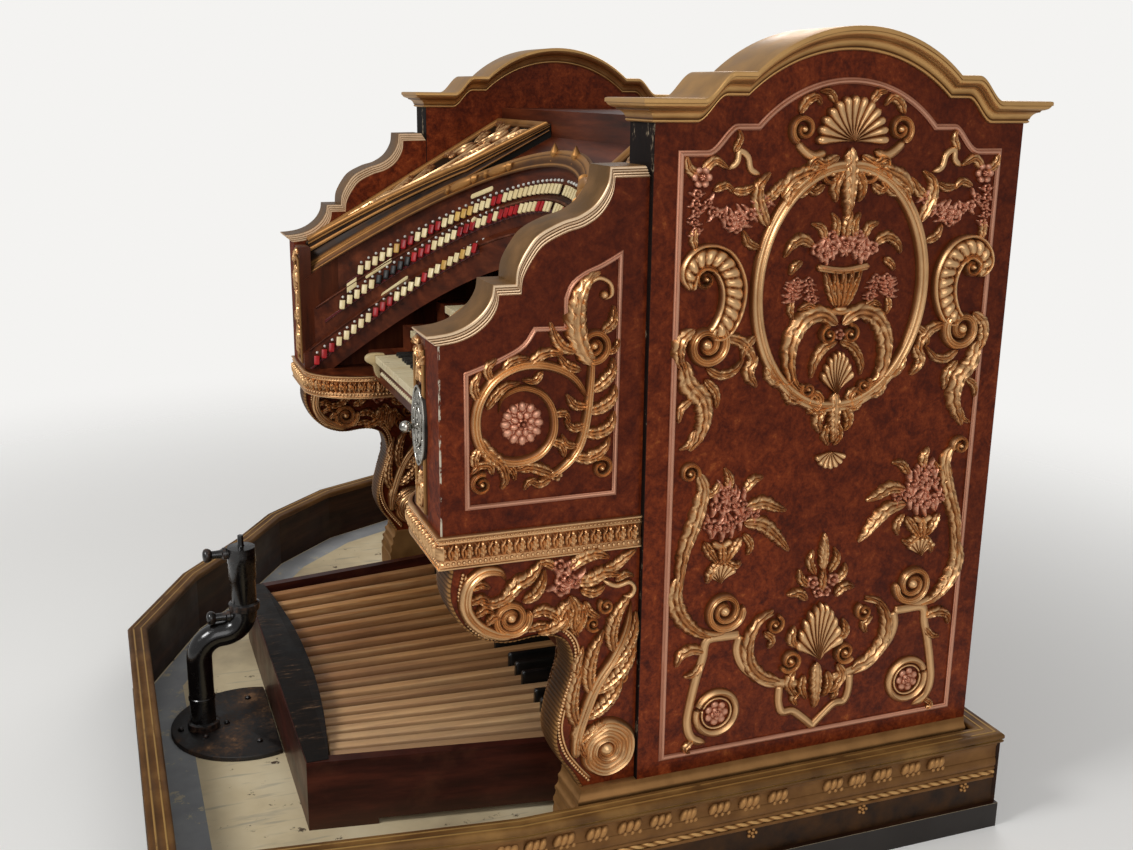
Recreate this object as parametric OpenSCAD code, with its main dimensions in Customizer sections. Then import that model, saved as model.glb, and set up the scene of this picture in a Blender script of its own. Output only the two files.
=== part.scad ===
// Console of a theatre pipe organ on its raised platform.
// X runs to the organist's right, Y runs from the organist to the back, Z is up.
// The origin is the middle of the platform's underside.

/* [Platform] */
// Distance from the left tower to the platform's left side
left_walk_w = 649; // [600:1:700]
// Clearance between the right plinth and the kerb beside it
side_clear = 1; // [1:0.5:4]
// Clearance between the towers and the kerb behind them
back_clear = 12; // [5:1:20]
// Clearance between the seat post's base and the kerb in front of it
front_clear = 31; // [10:1:40]
// Thickness of the deck slab
deck_h = 60; // [40:1:90]
// Height of the kerb above the deck
kerb_h = 177; // [150:1:190]
// Thickness of the kerb boards
kerb_t = 38; // [30:1:44]
// Height of the moulded top rail of the kerb
kerb_rail_h = 24; // [16:1:30]
// Overhang of the kerb's top rail over the board on each side
kerb_rail_out = 6; // [4:1:8]
// Spacing of the groups of lobes carved along the right side
lobe_pitch = 70; // [60:1:80]
// Radius of a carved lobe
lobe_r = 6; // [4:0.5:6]

/* [Case] */
// Depth of a tower from front to back
tower_d = 822; // [800:2:840]
// Thickness of a tower's side wall
tower_t = 110; // [96:1:116]
// Height of a tower's shoulder above the deck
shoulder_z = 1523; // [1500:1:1560]
// Depth of the flat shoulder at each end of a tower
shoulder_d = 83; // [70:1:95]
// Depth of the ogee between the shoulder and the step
ogee_d = 61; // [50:1:70]
// Rise of the ogee above the shoulder
ogee_rise = 48; // [36:1:60]
// Depth of the flat step beside the arch
step_d = 43; // [30:1:50]
// Rise of the arch above the step
arch_rise = 86; // [70:1:100]
// Height of the cornice on a tower
cornice_h = 44; // [36:1:54]
// Overhang of the cornice
cornice_out = 38; // [30:1:42]
// Height of the plinth under a tower
plinth_h = 195; // [180:1:210]
// Overhang of the plinth outside a tower
plinth_out = 20; // [12:1:24]
// Depth of the plinth in front of a tower, under the scroll leg
plinth_front_d = 123; // [118:1:140]
// Thickness of the boards that close the case
panel_t = 20; // [15:1:25]

/* [Arms] */
// Distance that the arms stand in front of the towers
arm_d = 406; // [390:2:420]
// Recess of the arms behind the outer face of the towers
arm_recess = 14; // [10:1:20]
// Width of the open well between the key cheeks and the jambs
well_w = 177; // [160:1:190]
// Thickness of the jambs that carry the stop rail
jamb_t = 84; // [70:1:90]
// Thickness of the stepped cheek on an arm
cheek_t = 92; // [80:1:100]
// Height of the underside of the arms above the deck
arm_z = 706; // [690:1:715]
// Height of the carved band round the arms
band_h = 66; // [56:1:70]
// Projection of the carved band
band_out = 9; // [5:1:9]
// Thickness of a scroll leg
leg_t = 85; // [70:1:90]
// Height of the moulded cap on a cheek
cap_h = 26; // [18:1:30]
// Overhang of the moulded cap on a cheek
cap_out = 12; // [8:1:13]
// Height of the front end of a cheek above the deck
cheek_front_z = 1159; // [1150:1:1180]
// Height of the back end of a cheek above the deck
cheek_back_z = 1452; // [1430:1:1470]
// Depth of the carved ornament on the cheeks and towers
relief = 12; // [8:1:12]

/* [Keyboards] */
// Width over the 36 white keys of a keyboard
manual_w = 846; // [820:2:860]
// Width of the cheeks beside the keyboards
key_cheek_w = 90; // [80:1:100]
// Height of the lowest keyboard's playing surface above the deck
key_z = 850; // [840:1:860]
// Rise from one keyboard to the next
manual_rise = 66; // [60:1:72]
// Setback from one keyboard to the next
manual_setback = 102; // [98:1:108]
// Visible length of a white key
white_len = 150; // [144:1:156]
// Visible length of a black key
black_len = 95; // [90:1:100]
// Gap between neighbouring keys
key_gap = 1; // [0.5:0.1:1.5]
// Width of a black key
black_w = 11; // [9:0.5:12]
// Height of a black key over the white keys
black_h = 11; // [9:0.5:13]
// Thickness of a white key
key_t = 20; // [16:1:24]
// Setback of the lowest keyboard behind the front of the arms
manual_front_d = 159; // [150:1:170]

/* [Stop rail] */
// Distance of the stop rail's curve outside the jambs
rail_bulge = 60; // [50:1:70]
// Depth of the ledge between the upper keyboard and the name board
ledge_d = 60; // [50:1:70]
// Depth of the stop rail behind its curve
rail_d = 78; // [70:1:90]
// Height of the stop rail's top at the end of its curve
rail_front_z = 1100; // [1090:1:1110]
// Width of a stop tablet
tab_w = 17; // [14:0.5:19]
// Length of a stop tablet
tab_len = 36; // [30:1:38]
// Thickness of a stop tablet
tab_t = 7; // [5:0.5:8]
// Spacing of the stop tablets along the rail
tab_pitch = 23; // [22:0.5:26]
// Height of the gilt moulding on the stop rail
moulding_h = 26; // [20:1:30]
// Depth of the gilt moulding on the stop rail
moulding_d = 34; // [26:1:40]
// Height of a finial on the stop rail
finial_h = 44; // [36:1:50]
// Length of the oval plate on the right arm
oval_len = 250; // [220:2:270]
// Width of the oval plate on the right arm
oval_w = 84; // [70:1:96]
// Diameter of the knob on the oval plate
knob_dia = 34; // [28:1:40]

/* [Pedals] */
// Half of the width of the pedal frame at its heel rail
pedal_half = 534; // [520:1:540]
// Height of the pedal frame above the deck
pedal_h = 164; // [156:1:170]
// Depth of the heel rail
heel_rail_d = 92; // [80:1:100]
// Distance from the front of the arms to the front of the heel rail
pedal_front_d = 220; // [210:1:240]
// Depth of the pedal frame from heel rail to toe rail
pedal_d = 900; // [880:5:920]
// Thickness of the pedal frame's boards
pedal_side_t = 24; // [18:1:30]
// Width of a pedal
pedal_w = 26; // [20:1:28]
// Depth of a pedal's body
pedal_body_h = 40; // [34:1:44]
// Length of a black pedal
sharp_len = 180; // [150:5:200]
// Width of a black pedal
sharp_w = 16; // [13:1:18]
// Height of a black pedal above the pale ones
sharp_rise = 30; // [20:1:36]
// Radius of the hollow across the pedals
hollow_r = 2590; // [2400:10:2800]

/* [Seat post] */
// Radius of the seat post's base plate
base_r = 188; // [176:2:200]
// Thickness of the seat post's base plate
base_t = 12; // [8:1:16]
// Outer diameter of the seat post's pipe
pipe_dia = 62; // [54:1:70]
// Height of the seat post above the deck
post_h = 512; // [490:1:540]
// Offset of the upper pipe behind the lower one
post_offset = 116; // [110:1:130]

/* [Hidden] */
// Overrun of cuts past the faces that they open
over = 20;
$fn = 48;
// Facets of the wide curves of the stop rail and the pedalboard
wide_fn = 360;

// Places of the console's upright faces, outwards from its middle
arm_gap_half = manual_w / 2 + key_cheek_w;
jamb_half = arm_gap_half + well_w;
cheek_in_x = jamb_half + jamb_t;
arm_out_x = cheek_in_x + cheek_t;
tower_out_x = arm_out_x + arm_recess;
tower_in_x = tower_out_x - tower_t;

// Size of the platform, which is drawn round the console
kerb_w = kerb_t + 2 * kerb_rail_out;
base_gap = 10;
base_back_d = 57;
front_d = pedal_front_d + base_gap + base_back_d + base_r + front_clear + kerb_w;
platform_w = left_walk_w + 2 * tower_out_x + plinth_out + side_clear + kerb_w;
platform_d = front_d + arm_d + tower_d + back_clear + kerb_w;

// Placing of the console on the platform
console_x = platform_w / 2 - kerb_w - side_clear - plinth_out - tower_out_x;
arm_front_y = front_d - platform_d / 2;
tower_front_y = arm_front_y + arm_d;
tower_back_y = tower_front_y + tower_d;

// Outline of the platform as shares of its width from the left and of its depth from the front
platform_shares = [
    [0, 1], [0, 0.695], [0.013, 0.525], [0.073, 0.375], [0.158, 0.26], [0.242, 0.193],
    [0.346, 0.091], [0.494, 0], [0.964, 0], [1, 0.375], [1, 1]
];
platform_outline = [for (p = platform_shares) [(p.x - 0.5) * platform_w, (p.y - 0.5) * platform_d]];
// Corners of that outline where the kerbs round the front end and where the right side ends
front_end = 9;
right_end = 10;

// Point of a closed outline moved inwards by a distance, square to both of its edges
function wrapped(points, i) = points[(i + len(points)) % len(points)];
function unit(v) = v / norm(v);
function inward(v) = [-v.y, v.x];
function mitre(points, i, d) =
    let (a = inward(unit(wrapped(points, i) - wrapped(points, i - 1))))
    let (b = inward(unit(wrapped(points, i + 1) - wrapped(points, i))))
    wrapped(points, i) + (a + b) * d / (1 + a * b);

// Points of a smooth curve through control points
function spline_point(a, b, c, d, t) =
    (2 * b + (c - a) * t + (2 * a - 5 * b + 4 * c - d) * t * t + (3 * b - a - 3 * c + d) * t * t * t) / 2;
function spline(points, steps) = concat(
    [for (i = [0 : len(points) - 2], k = [0 : steps - 1])
        spline_point(points[max(i - 1, 0)], points[i], points[i + 1],
            points[min(i + 2, len(points) - 1)], k / steps)],
    [points[len(points) - 1]]);

// Points of an S-shaped rise between two points
ogee_steps = 8;
function ogee(p, q) = [for (k = [0 : ogee_steps])
    let (t = k / ogee_steps) [p.x + (q.x - p.x) * t, p.y + (q.y - p.y) * t * t * (3 - 2 * t)]];

// Points of an arc over a chord from p to q, both at one height
arc_steps = 20;
function arch(p, q, rise) =
    let (half = (q.x - p.x) / 2, r = (half * half + rise * rise) / (2 * rise), a = asin(half / r))
    [for (k = [0 : arc_steps])
        let (t = -a + 2 * a * k / arc_steps)
        [(p.x + q.x) / 2 + r * sin(t), p.y + rise - r + r * cos(t)]];

// Upper edge of a tower from its front to its back, drawn in by a margin
function crest(margin) =
    let (front = tower_front_y + margin, back = tower_back_y - margin)
    let (z0 = shoulder_z - margin, z1 = z0 + ogee_rise)
    let (a = tower_front_y + shoulder_d + margin / 2, b = a + ogee_d, c = b + step_d)
    let (mid = (front + back) / 2)
    let (half = concat([[front, z0]], ogee([a, z0], [b, z1])))
    let (other = [for (k = [len(half) - 1 : -1 : 0]) [2 * mid - half[k].x, half[k].y]])
    concat(half, arch([c, z1], [2 * mid - c, z1], arch_rise), other);

// Upper edge of a cheek from its front to the tower, as shares of its depth and rise
cheek_foot_shares = [[0, 0], [0.09, 0.017], [0.167, 0.058], [0.234, 0.13], [0.273, 0.215], [0.283, 0.294]];
cheek_body_shares = [[0.387, 0.294], [0.397, 0.396], [0.443, 0.512], [0.498, 0.597], [0.599, 0.666],
    [0.687, 0.703], [0.766, 0.775], [0.818, 0.887], [0.83, 0.996]];
curve_steps = 4;
function cheek_place(s) =
    [arm_front_y + s.x * arm_d, cheek_front_z - cap_h + s.y * (cheek_back_z - cheek_front_z)];
cheek_edge = concat(
    spline([for (s = cheek_foot_shares) cheek_place(s)], curve_steps),
    spline([for (s = cheek_body_shares) cheek_place(s)], curve_steps),
    [cheek_place([1, 1])]);

// Front edge of a scroll leg from top to foot, as shares of its depth and height
leg_shares = [[0.049, 1], [0.034, 0.89], [0.08, 0.79], [0.167, 0.718], [0.26, 0.685], [0.345, 0.677],
    [0.45, 0.685], [0.54, 0.679], [0.622, 0.638], [0.655, 0.54], [0.632, 0.45], [0.583, 0.32], [0.569, 0.22],
    [0.6, 0.14], [0.66, 0.07], [0.71, 0]];
function leg_place(s) = [arm_front_y + s.x * arm_d, plinth_h + s.y * (arm_z - plinth_h)];
leg_edge = spline([for (s = leg_shares) leg_place(s)], curve_steps);

// Front edge and playing surface of a keyboard, counted from the lowest
manuals = 3;
function manual_y(i) = arm_front_y + manual_front_d + i * manual_setback;
function manual_z(i) = key_z + i * manual_rise;

// Height of the stop rail's top at a depth, and its curve
rail_slope = 0.66;
stop_r = jamb_half + rail_bulge;
name_setback = 5;
name_y = manual_y(manuals - 1) + white_len + ledge_d;
rail_center_y = name_y - name_setback - stop_r;
rail_end_y = rail_center_y + sqrt(stop_r * stop_r - jamb_half * jamb_half);
function rail_z(y) = rail_front_z + rail_slope * (y - rail_end_y);
music_y = rail_center_y + stop_r + rail_d;

// A body drawn from the side in Y and Z, with its X range
module side_plate(x0, x1) {
    translate([x0, 0, 0]) rotate([90, 0, 90]) linear_extrude(x1 - x0) children();
}

// Places its children on the deck in the console's own coordinates
module on_deck() {
    translate([console_x, 0, deck_h]) children();
}

// The same piece on the right or mirrored to the left
module on_side(side) {
    on_deck() {
        if (side > 0) children();
        else mirror([1, 0, 0]) children();
    }
}

// A moulding of given profile along an edge drawn in Y and Z
// Each profile point is an overhang and a height along the lift direction
module capping(edge, profile, lift, x0, x1, ends) {
    n = len(edge);
    m = len(profile);
    points = [for (j = [0 : n - 1], side = [0, 1], k = [0 : m - 1])
        let (out = profile[k].x, up = profile[k].y)
        let (end_shift = j == 0 ? -out * ends[0] : j == n - 1 ? out * ends[1] : 0)
        [side == 0 ? x1 + out : x0 - out * ends[2],
            edge[j].x + lift.x * up + end_shift, edge[j].y + lift.y * up]];
    function at(j, side, k) = (j * 2 + side) * m + k;
    faces = concat(
        [for (j = [0 : n - 2], k = [0 : m - 2])
            [at(j, 0, k), at(j, 0, k + 1), at(j + 1, 0, k + 1), at(j + 1, 0, k)]],
        [for (j = [0 : n - 2], k = [0 : m - 2])
            [at(j, 1, k), at(j + 1, 1, k), at(j + 1, 1, k + 1), at(j, 1, k + 1)]],
        [for (j = [0 : n - 2]) [at(j, 0, m - 1), at(j, 1, m - 1), at(j + 1, 1, m - 1), at(j + 1, 0, m - 1)]],
        [for (j = [0 : n - 2]) [at(j, 0, 0), at(j + 1, 0, 0), at(j + 1, 1, 0), at(j, 1, 0)]],
        [for (k = [0 : m - 2]) [at(0, 0, k), at(0, 1, k), at(0, 1, k + 1), at(0, 0, k + 1)]],
        [for (k = [0 : m - 2]) [at(n - 1, 0, k), at(n - 1, 0, k + 1), at(n - 1, 1, k + 1), at(n - 1, 1, k)]]);
    polyhedron(points, faces, convexity = 8);
}

// Profile of the cornice and the cap as shares of their overhang and height
moulding_shares = [[0.1, 0], [0.18, 0.12], [0.3, 0.18], [0.42, 0.42], [0.72, 0.6], [0.9, 0.64], [1, 0.7],
    [1, 0.9], [0.86, 1]];
function moulding(out, height) = [for (s = moulding_shares) [s.x * out, s.y * height]];

module platform_deck() {
    color("Cornsilk") linear_extrude(deck_h) polygon(platform_outline);
}

// Boards on the deck, from one corner of the platform to another
module boards_between(first, last) {
    translate([0, 0, deck_h]) linear_extrude(kerb_h - kerb_rail_h) polygon(concat(
        [for (i = [first : last]) mitre(platform_outline, i, kerb_rail_out)],
        [for (i = [last : -1 : first]) mitre(platform_outline, i, kerb_rail_out + kerb_t)]));
}
module kerb_boards() { color("SaddleBrown") boards_between(-1, front_end); }

// Right side board with a round bead and, above it, groups of carved upright lobes
lobes_in_group = 4;
lobe_share = 0.82;
lobe_h = 30;
bead_drop = 66;
function lobe_y(y0, group, k) = y0 + lobe_pitch * (group + (k + 1) / lobes_in_group * lobe_share);
module right_fascia() {
    y0 = mitre(platform_outline, front_end, kerb_rail_out).y;
    y1 = platform_d / 2 - kerb_rail_out;
    x = platform_w / 2 - kerb_rail_out;
    top = deck_h + kerb_h - kerb_rail_h;
    count = floor((y1 - y0) / lobe_pitch);
    color("DarkGoldenrod") {
        boards_between(front_end, right_end);
        intersection() {
            translate([x, y0, deck_h]) cube([kerb_rail_out, y1 - y0, kerb_h - kerb_rail_h]);
            union() {
                for (g = [0 : count - 1], k = [0 : lobes_in_group - 1])
                    translate([x, lobe_y(y0, g, k), top - lobe_h]) cylinder(h = lobe_h, r = lobe_r);
                translate([x, y0, top - bead_drop]) rotate([-90, 0, 0]) cylinder(h = y1 - y0, r = lobe_r);
            }
        }
    }
}

// Moulded rail that caps the boards all the way round
module kerb_rail() {
    color("DarkGoldenrod") translate([0, 0, deck_h + kerb_h - kerb_rail_h]) linear_extrude(kerb_rail_h)
        difference() {
            polygon(platform_outline);
            polygon([for (i = [0 : len(platform_outline) - 1]) mitre(platform_outline, i, kerb_w)]);
        }
}

// Stepped plinth under a tower and its scroll leg, as shares of its overhang and height
plinth_shares = [[1, 0, 0.62], [0.72, 0.62, 0.76], [0.4, 0.76, 0.9], [0.1, 0.9, 1]];
module plinth(side) {
    front = tower_front_y - plinth_front_d;
    on_side(side) color("DarkKhaki") for (s = plinth_shares) {
        out = plinth_out * s[0];
        translate([tower_in_x, front - out, plinth_h * s[1]])
            cube([tower_t + out, tower_back_y - front + out, plinth_h * (s[2] - s[1])]);
    }
}
module right_plinth() { plinth(1); }
module left_plinth() { plinth(-1); }

// Side wall of the case with its arched top
module tower(side) {
    on_side(side) color("Sienna") side_plate(tower_in_x, tower_out_x)
        polygon(concat([[tower_front_y, plinth_h]], crest(0), [[tower_back_y, plinth_h]]));
}
module right_tower() { tower(1); }
module left_tower() { tower(-1); }

module cornice(side) {
    on_side(side) color("DarkGoldenrod")
        capping(crest(0), moulding(cornice_out, cornice_h), [0, 1], tower_in_x, tower_out_x, [1, 1, 1]);
}
module right_cornice() { cornice(1); }
module left_cornice() { cornice(-1); }

// Raised bead round the panel of a tower, and the ornament carved inside it
tower_frame_margin = 49;
tower_frame_w = 12;
tower_frame_t = 8;
tower_frame_foot = 33;
module tower_panel(margin) {
    foot = plinth_h + tower_frame_foot + margin - tower_frame_margin;
    polygon(concat([[tower_front_y + margin, foot]], crest(margin), [[tower_back_y - margin, foot]]));
}
// Carved bar of varying width along a curve, drawn flat
// Each control point is a place and a half width
stroke_steps = 5;
module stroke(controls) {
    path = spline([for (c = controls) [c[0], c[1]]], stroke_steps);
    width = spline([for (c = controls) [c[2], 0]], stroke_steps);
    n = len(path) - 1;
    across = [for (i = [0 : n]) inward(unit(path[min(i + 1, n)] - path[max(i - 1, 0)]))];
    polygon(concat(
        [for (i = [0 : n]) path[i] - across[i] * width[i].x],
        [for (i = [n : -1 : 0]) path[i] + across[i] * width[i].x]));
}

// Outline of an oval
oval_steps = 72;
function oval(a, b) = [for (k = [0 : oval_steps - 1])
    let (t = 360 * k / oval_steps) [a * cos(t), b * sin(t)]];

// Outline of a fluted shell that opens upwards, as shares of its radius and stretched upwards
shell_ribs = 9;
shell_spread = 90;
shell_notch_share = 0.88;
shell_hinge_share = 0.3;
function shell(r, stretch) = concat(
    [for (k = [0 : 2 * shell_ribs])
        let (t = 90 + shell_spread * (1 - k / shell_ribs), s = k % 2 == 0 ? shell_notch_share : 1)
        [r * s * cos(t), r * s * stretch * sin(t)]],
    [[r * shell_hinge_share, -r * shell_hinge_share], [-r * shell_hinge_share, -r * shell_hinge_share]]);

// Ornament of a tower's left half, as shares of the panel's half width and of its height
// Each point of a bar is a place and a half width, in shares of the half width
c_scroll_shares = [[0.87, 0.75, 0.02], [0.81, 0.757, 0.035], [0.72, 0.74, 0.04], [0.66, 0.697, 0.04],
    [0.7, 0.66, 0.04], [0.78, 0.642, 0.03]];
c_stem_shares = [[0.85, 0.625, 0.03], [0.9, 0.6, 0.035], [0.88, 0.565, 0.03], [0.84, 0.53, 0.025],
    [0.86, 0.505, 0.015]];
basket_scroll_shares = [[0.9, 0.455, 0.02], [0.85, 0.445, 0.03], [0.82, 0.415, 0.03], [0.87, 0.365, 0.03],
    [0.92, 0.313, 0.035], [0.93, 0.27, 0.035], [0.87, 0.226, 0.04], [0.77, 0.203, 0.035],
    [0.67, 0.205, 0.03]];
strap_shares = [[0.75, 0.165, 0.03], [0.81, 0.13, 0.035], [0.85, 0.08, 0.035], [0.82, 0.035, 0.035],
    [0.72, 0.02, 0.025]];
shell_scroll_shares = [[0.24, 0.098, 0.03], [0.36, 0.11, 0.035], [0.45, 0.14, 0.035], [0.45, 0.18, 0.035],
    [0.38, 0.208, 0.03], [0.28, 0.208, 0.02]];
cartouche_shares = [[0.26, 0.1, 0.03], [0.25, 0.06, 0.03], [0.14, 0.035, 0.03], [-0.01, 0.022, 0.03]];
lyre_shares = [[0.04, 0.655, 0.03], [0.15, 0.667, 0.035], [0.25, 0.643, 0.04], [0.28, 0.603, 0.04],
    [0.24, 0.572, 0.03], [0.16, 0.565, 0.02]];
garland_shares = [[0.9, 0.86, 0.03], [0.86, 0.825, 0.03], [0.75, 0.806, 0.045], [0.63, 0.81, 0.045],
    [0.5, 0.83, 0.02]];
tower_bars = [c_scroll_shares, c_stem_shares, basket_scroll_shares, strap_shares, shell_scroll_shares,
    cartouche_shares, lyre_shares, garland_shares];
// Rounds of that ornament: place and radius
tower_rounds_shares = [[0.9, 0.733, 0.075], [0.83, 0.643, 0.1], [0.9, 0.453, 0.06], [0.65, 0.232, 0.12],
    [0.68, 0.065, 0.14], [0.18, 0.135, 0.07], [0.68, 0.385, 0.15], [0.9, 0.868, 0.07], [0.15, 0.765, 0.09],
    [0.34, 0.722, 0.06]];
// Shells on the panel's middle line: height, radius and stretch
tower_shells_shares = [[0.914, 0.223, 1], [0.552, 0.14, 1.9], [0.125, 0.19, 2]];
basket_shares = [[0.84, 0.35], [0.75, 0.305], [0.61, 0.305], [0.52, 0.35]];
wreath_center_share = 0.7065;
wreath_a_share = 0.537;
wreath_b_share = 0.174;
wreath_w = 22;
urn_shares = [[0.17, 0.745], [0.13, 0.715], [0.07, 0.69], [0.05, 0.675], [0.1, 0.66]];
pendant_shares = [[0.1, 0.55], [0.03, 0.51], [0.13, 0.475], [0, 0.43]];
drop_shares = [[0.15, 0.91], [0.1, 0.86], [0, 0.8]];
module half_outline(shares, half, height) {
    polygon(concat([for (s = shares) [-s.x * half, s.y * height]],
        [for (k = [len(shares) - 1 : -1 : 0]) [shares[k].x * half, shares[k].y * height]]));
}
module tower_ornament() {
    half = tower_d / 2 - tower_frame_margin - tower_frame_w;
    foot = plinth_h + tower_frame_foot;
    height = shoulder_z + ogee_rise + arch_rise - tower_frame_margin - foot;
    translate([(tower_front_y + tower_back_y) / 2, foot]) {
        for (flip = [0, 1]) mirror([flip, 0]) {
            for (bar = tower_bars) stroke([for (s = bar) [-s[0] * half, s[1] * height, s[2] * half]]);
            for (s = tower_rounds_shares) translate([-s[0] * half, s[1] * height]) circle(r = s[2] * half);
            polygon([for (s = basket_shares) [-s.x * half, s.y * height]]);
        }
        for (s = tower_shells_shares) translate([0, s[0] * height]) polygon(shell(s[1] * half, s[2]));
        translate([0, wreath_center_share * height]) difference() {
            polygon(oval(wreath_a_share * half, wreath_b_share * height));
            polygon(oval(wreath_a_share * half - wreath_w, wreath_b_share * height - wreath_w));
        }
        half_outline(urn_shares, half, height);
        half_outline(pendant_shares, half, height);
        half_outline(drop_shares, half, height);
    }
}
module tower_frame(side) {
    on_side(side) color("RosyBrown") {
        side_plate(tower_out_x, tower_out_x + tower_frame_t) difference() {
            tower_panel(tower_frame_margin);
            tower_panel(tower_frame_margin + tower_frame_w);
        }
        side_plate(tower_out_x, tower_out_x + relief) tower_ornament();
    }
}
module right_tower_frame() { tower_frame(1); }
module left_tower_frame() { tower_frame(-1); }

// Scroll leg that carries an arm in front of the tower
module leg(side) {
    on_side(side) color("Peru") side_plate(arm_out_x - leg_t, arm_out_x)
        polygon(concat(leg_edge, [[tower_front_y, plinth_h], [tower_front_y, arm_z]]));
}
module right_leg() { leg(1); }
module left_leg() { leg(-1); }

// Plan of the lower part of an arm, with its rounded inner corner
corner_d = 181;
corner_w = 147;
corner_steps = 10;
function arm_plan(grow) = concat(
    [[arm_out_x + grow, tower_front_y], [arm_out_x + grow, arm_front_y - grow]],
    [for (k = [0 : corner_steps])
        let (a = 90 * k / corner_steps)
        [arm_gap_half + corner_w - (corner_w + grow) * sin(a),
            arm_front_y + corner_d - (corner_d + grow) * cos(a)]],
    [[arm_gap_half - grow, tower_front_y]]);

// Arm with its lower block and the upright jamb that carries the stop rail
module arm(side) {
    z0 = arm_z + band_h;
    back_y = name_y + panel_t;
    on_side(side) color("SaddleBrown") {
        translate([0, 0, arm_z]) linear_extrude(band_h) polygon(arm_plan(0));
        side_plate(jamb_half, cheek_in_x) polygon([[arm_front_y, z0], [arm_front_y, rail_z(arm_front_y)],
            [tower_front_y, rail_z(tower_front_y)], [tower_front_y, z0]]);
        side_plate(jamb_half, min(tower_in_x, cheek_in_x)) polygon([[tower_front_y, z0],
            [tower_front_y, rail_z(tower_front_y)], [back_y, rail_z(back_y)], [back_y, z0]]);
    }
}
module right_arm() { arm(1); }
module left_arm() { arm(-1); }

module arm_band(side) {
    on_side(side) color("Goldenrod") translate([0, 0, arm_z]) linear_extrude(band_h) difference() {
        polygon(arm_plan(band_out));
        polygon(arm_plan(0));
    }
}
module right_arm_band() { arm_band(1); }
module left_arm_band() { arm_band(-1); }

// Stepped cheek over the arm, in line with the tower
module cheek(side) {
    on_side(side) color("Sienna") side_plate(cheek_in_x, arm_out_x)
        polygon(concat([[arm_front_y, arm_z + band_h]], cheek_edge, [[tower_front_y, arm_z + band_h]]));
}
module right_cheek() { cheek(1); }
module left_cheek() { cheek(-1); }

cap_lift_shares = [-0.55, 0.83];
module cheek_cap(side) {
    on_side(side) color("Goldenrod")
        capping(cheek_edge, moulding(cap_out, cap_h), cap_lift_shares, cheek_in_x, arm_out_x, [1, 0, 0]);
}
module right_cheek_cap() { cheek_cap(1); }
module left_cheek_cap() { cheek_cap(-1); }

// Raised bead round the panel of a cheek, and the spiral carved on it
// Both are shares of the cheek's depth and of its height at the front
cheek_frame_w = 9;
cheek_frame_t = 7;
cheek_frame_shares = [[0.115, 0.12], [0.115, 0.8], [0.2, 0.83], [0.29, 0.865], [0.39, 0.92],
    [0.445, 1], [0.59, 0.995], [0.59, 1.13], [0.62, 1.2], [0.68, 1.25], [0.77, 1.29], [0.877, 1.35],
    [0.867, 0.12]];
cheek_spiral_shares = [[0.76, 1.12, 0.02], [0.73, 0.95, 0.02], [0.68, 0.76, 0.03], [0.56, 0.79, 0.035],
    [0.42, 0.83, 0.04], [0.27, 0.8, 0.04], [0.18, 0.65, 0.03], [0.2, 0.45, 0.03], [0.33, 0.34, 0.03],
    [0.46, 0.35, 0.03], [0.535, 0.46, 0.03], [0.5, 0.62, 0.03], [0.4, 0.695, 0.025]];
cheek_stem_shares = [[0.46, 0.22, 0.02], [0.57, 0.27, 0.03], [0.67, 0.36, 0.03], [0.72, 0.55, 0.03],
    [0.72, 0.75, 0.02]];
cheek_curl_shares = [[0.2, 0.36, 0.02], [0.24, 0.25, 0.03], [0.18, 0.2, 0.03]];
cheek_rounds_shares = [[0.395, 0.555, 0.075], [0.745, 0.9, 0.07], [0.79, 0.27, 0.05], [0.17, 0.22, 0.05]];
function cheek_spot(s) = [arm_front_y + s.x * arm_d, arm_z + band_h + s.y * (cheek_front_z - arm_z - band_h)];
module cheek_panel(inset) {
    outline = [for (s = cheek_frame_shares) cheek_spot(s)];
    polygon([for (i = [0 : len(outline) - 1]) mitre(outline, i, -inset)]);
}
module cheek_bar(shares) {
    stroke([for (s = shares) let (p = cheek_spot(s)) [p.x, p.y, s[2] * arm_d]]);
}
module cheek_frame(side) {
    on_side(side) color("RosyBrown") {
        side_plate(arm_out_x, arm_out_x + cheek_frame_t) difference() {
            cheek_panel(0);
            cheek_panel(cheek_frame_w);
        }
        side_plate(arm_out_x, arm_out_x + relief) {
            cheek_bar(cheek_spiral_shares);
            cheek_bar(cheek_stem_shares);
            cheek_bar(cheek_curl_shares);
            for (s = cheek_rounds_shares) translate(cheek_spot(s)) circle(r = s[2] * arm_d);
        }
    }
}
module right_cheek_frame() { cheek_frame(1); }
module left_cheek_frame() { cheek_frame(-1); }

// Panels that close the case between the towers
lid_z = shoulder_z;
back_inset = 20;
knee_setback = 60;
knee_gap = 40;
knee_y = tower_front_y + knee_setback;
knee_z = pedal_h + knee_gap;
desk_z = arm_z + band_h;
desk_top_z = key_z - key_t;
module between_towers(y, z, d, h) {
    on_deck() translate([-tower_in_x, y, z]) cube([2 * tower_in_x, d, h]);
}
module back_panel() {
    color("SaddleBrown") between_towers(tower_back_y - back_inset - panel_t, 0, panel_t, lid_z - panel_t);
}
module top_lid() {
    color("Sienna") between_towers(music_y, lid_z - panel_t, tower_back_y - back_inset - music_y, panel_t);
}
module music_panel() {
    color("Sienna") between_towers(music_y, desk_top_z, panel_t, lid_z - panel_t - desk_top_z);
}
module knee_panel() {
    color("SaddleBrown") between_towers(knee_y, knee_z, panel_t, desk_z - panel_t - knee_z);
}

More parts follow.
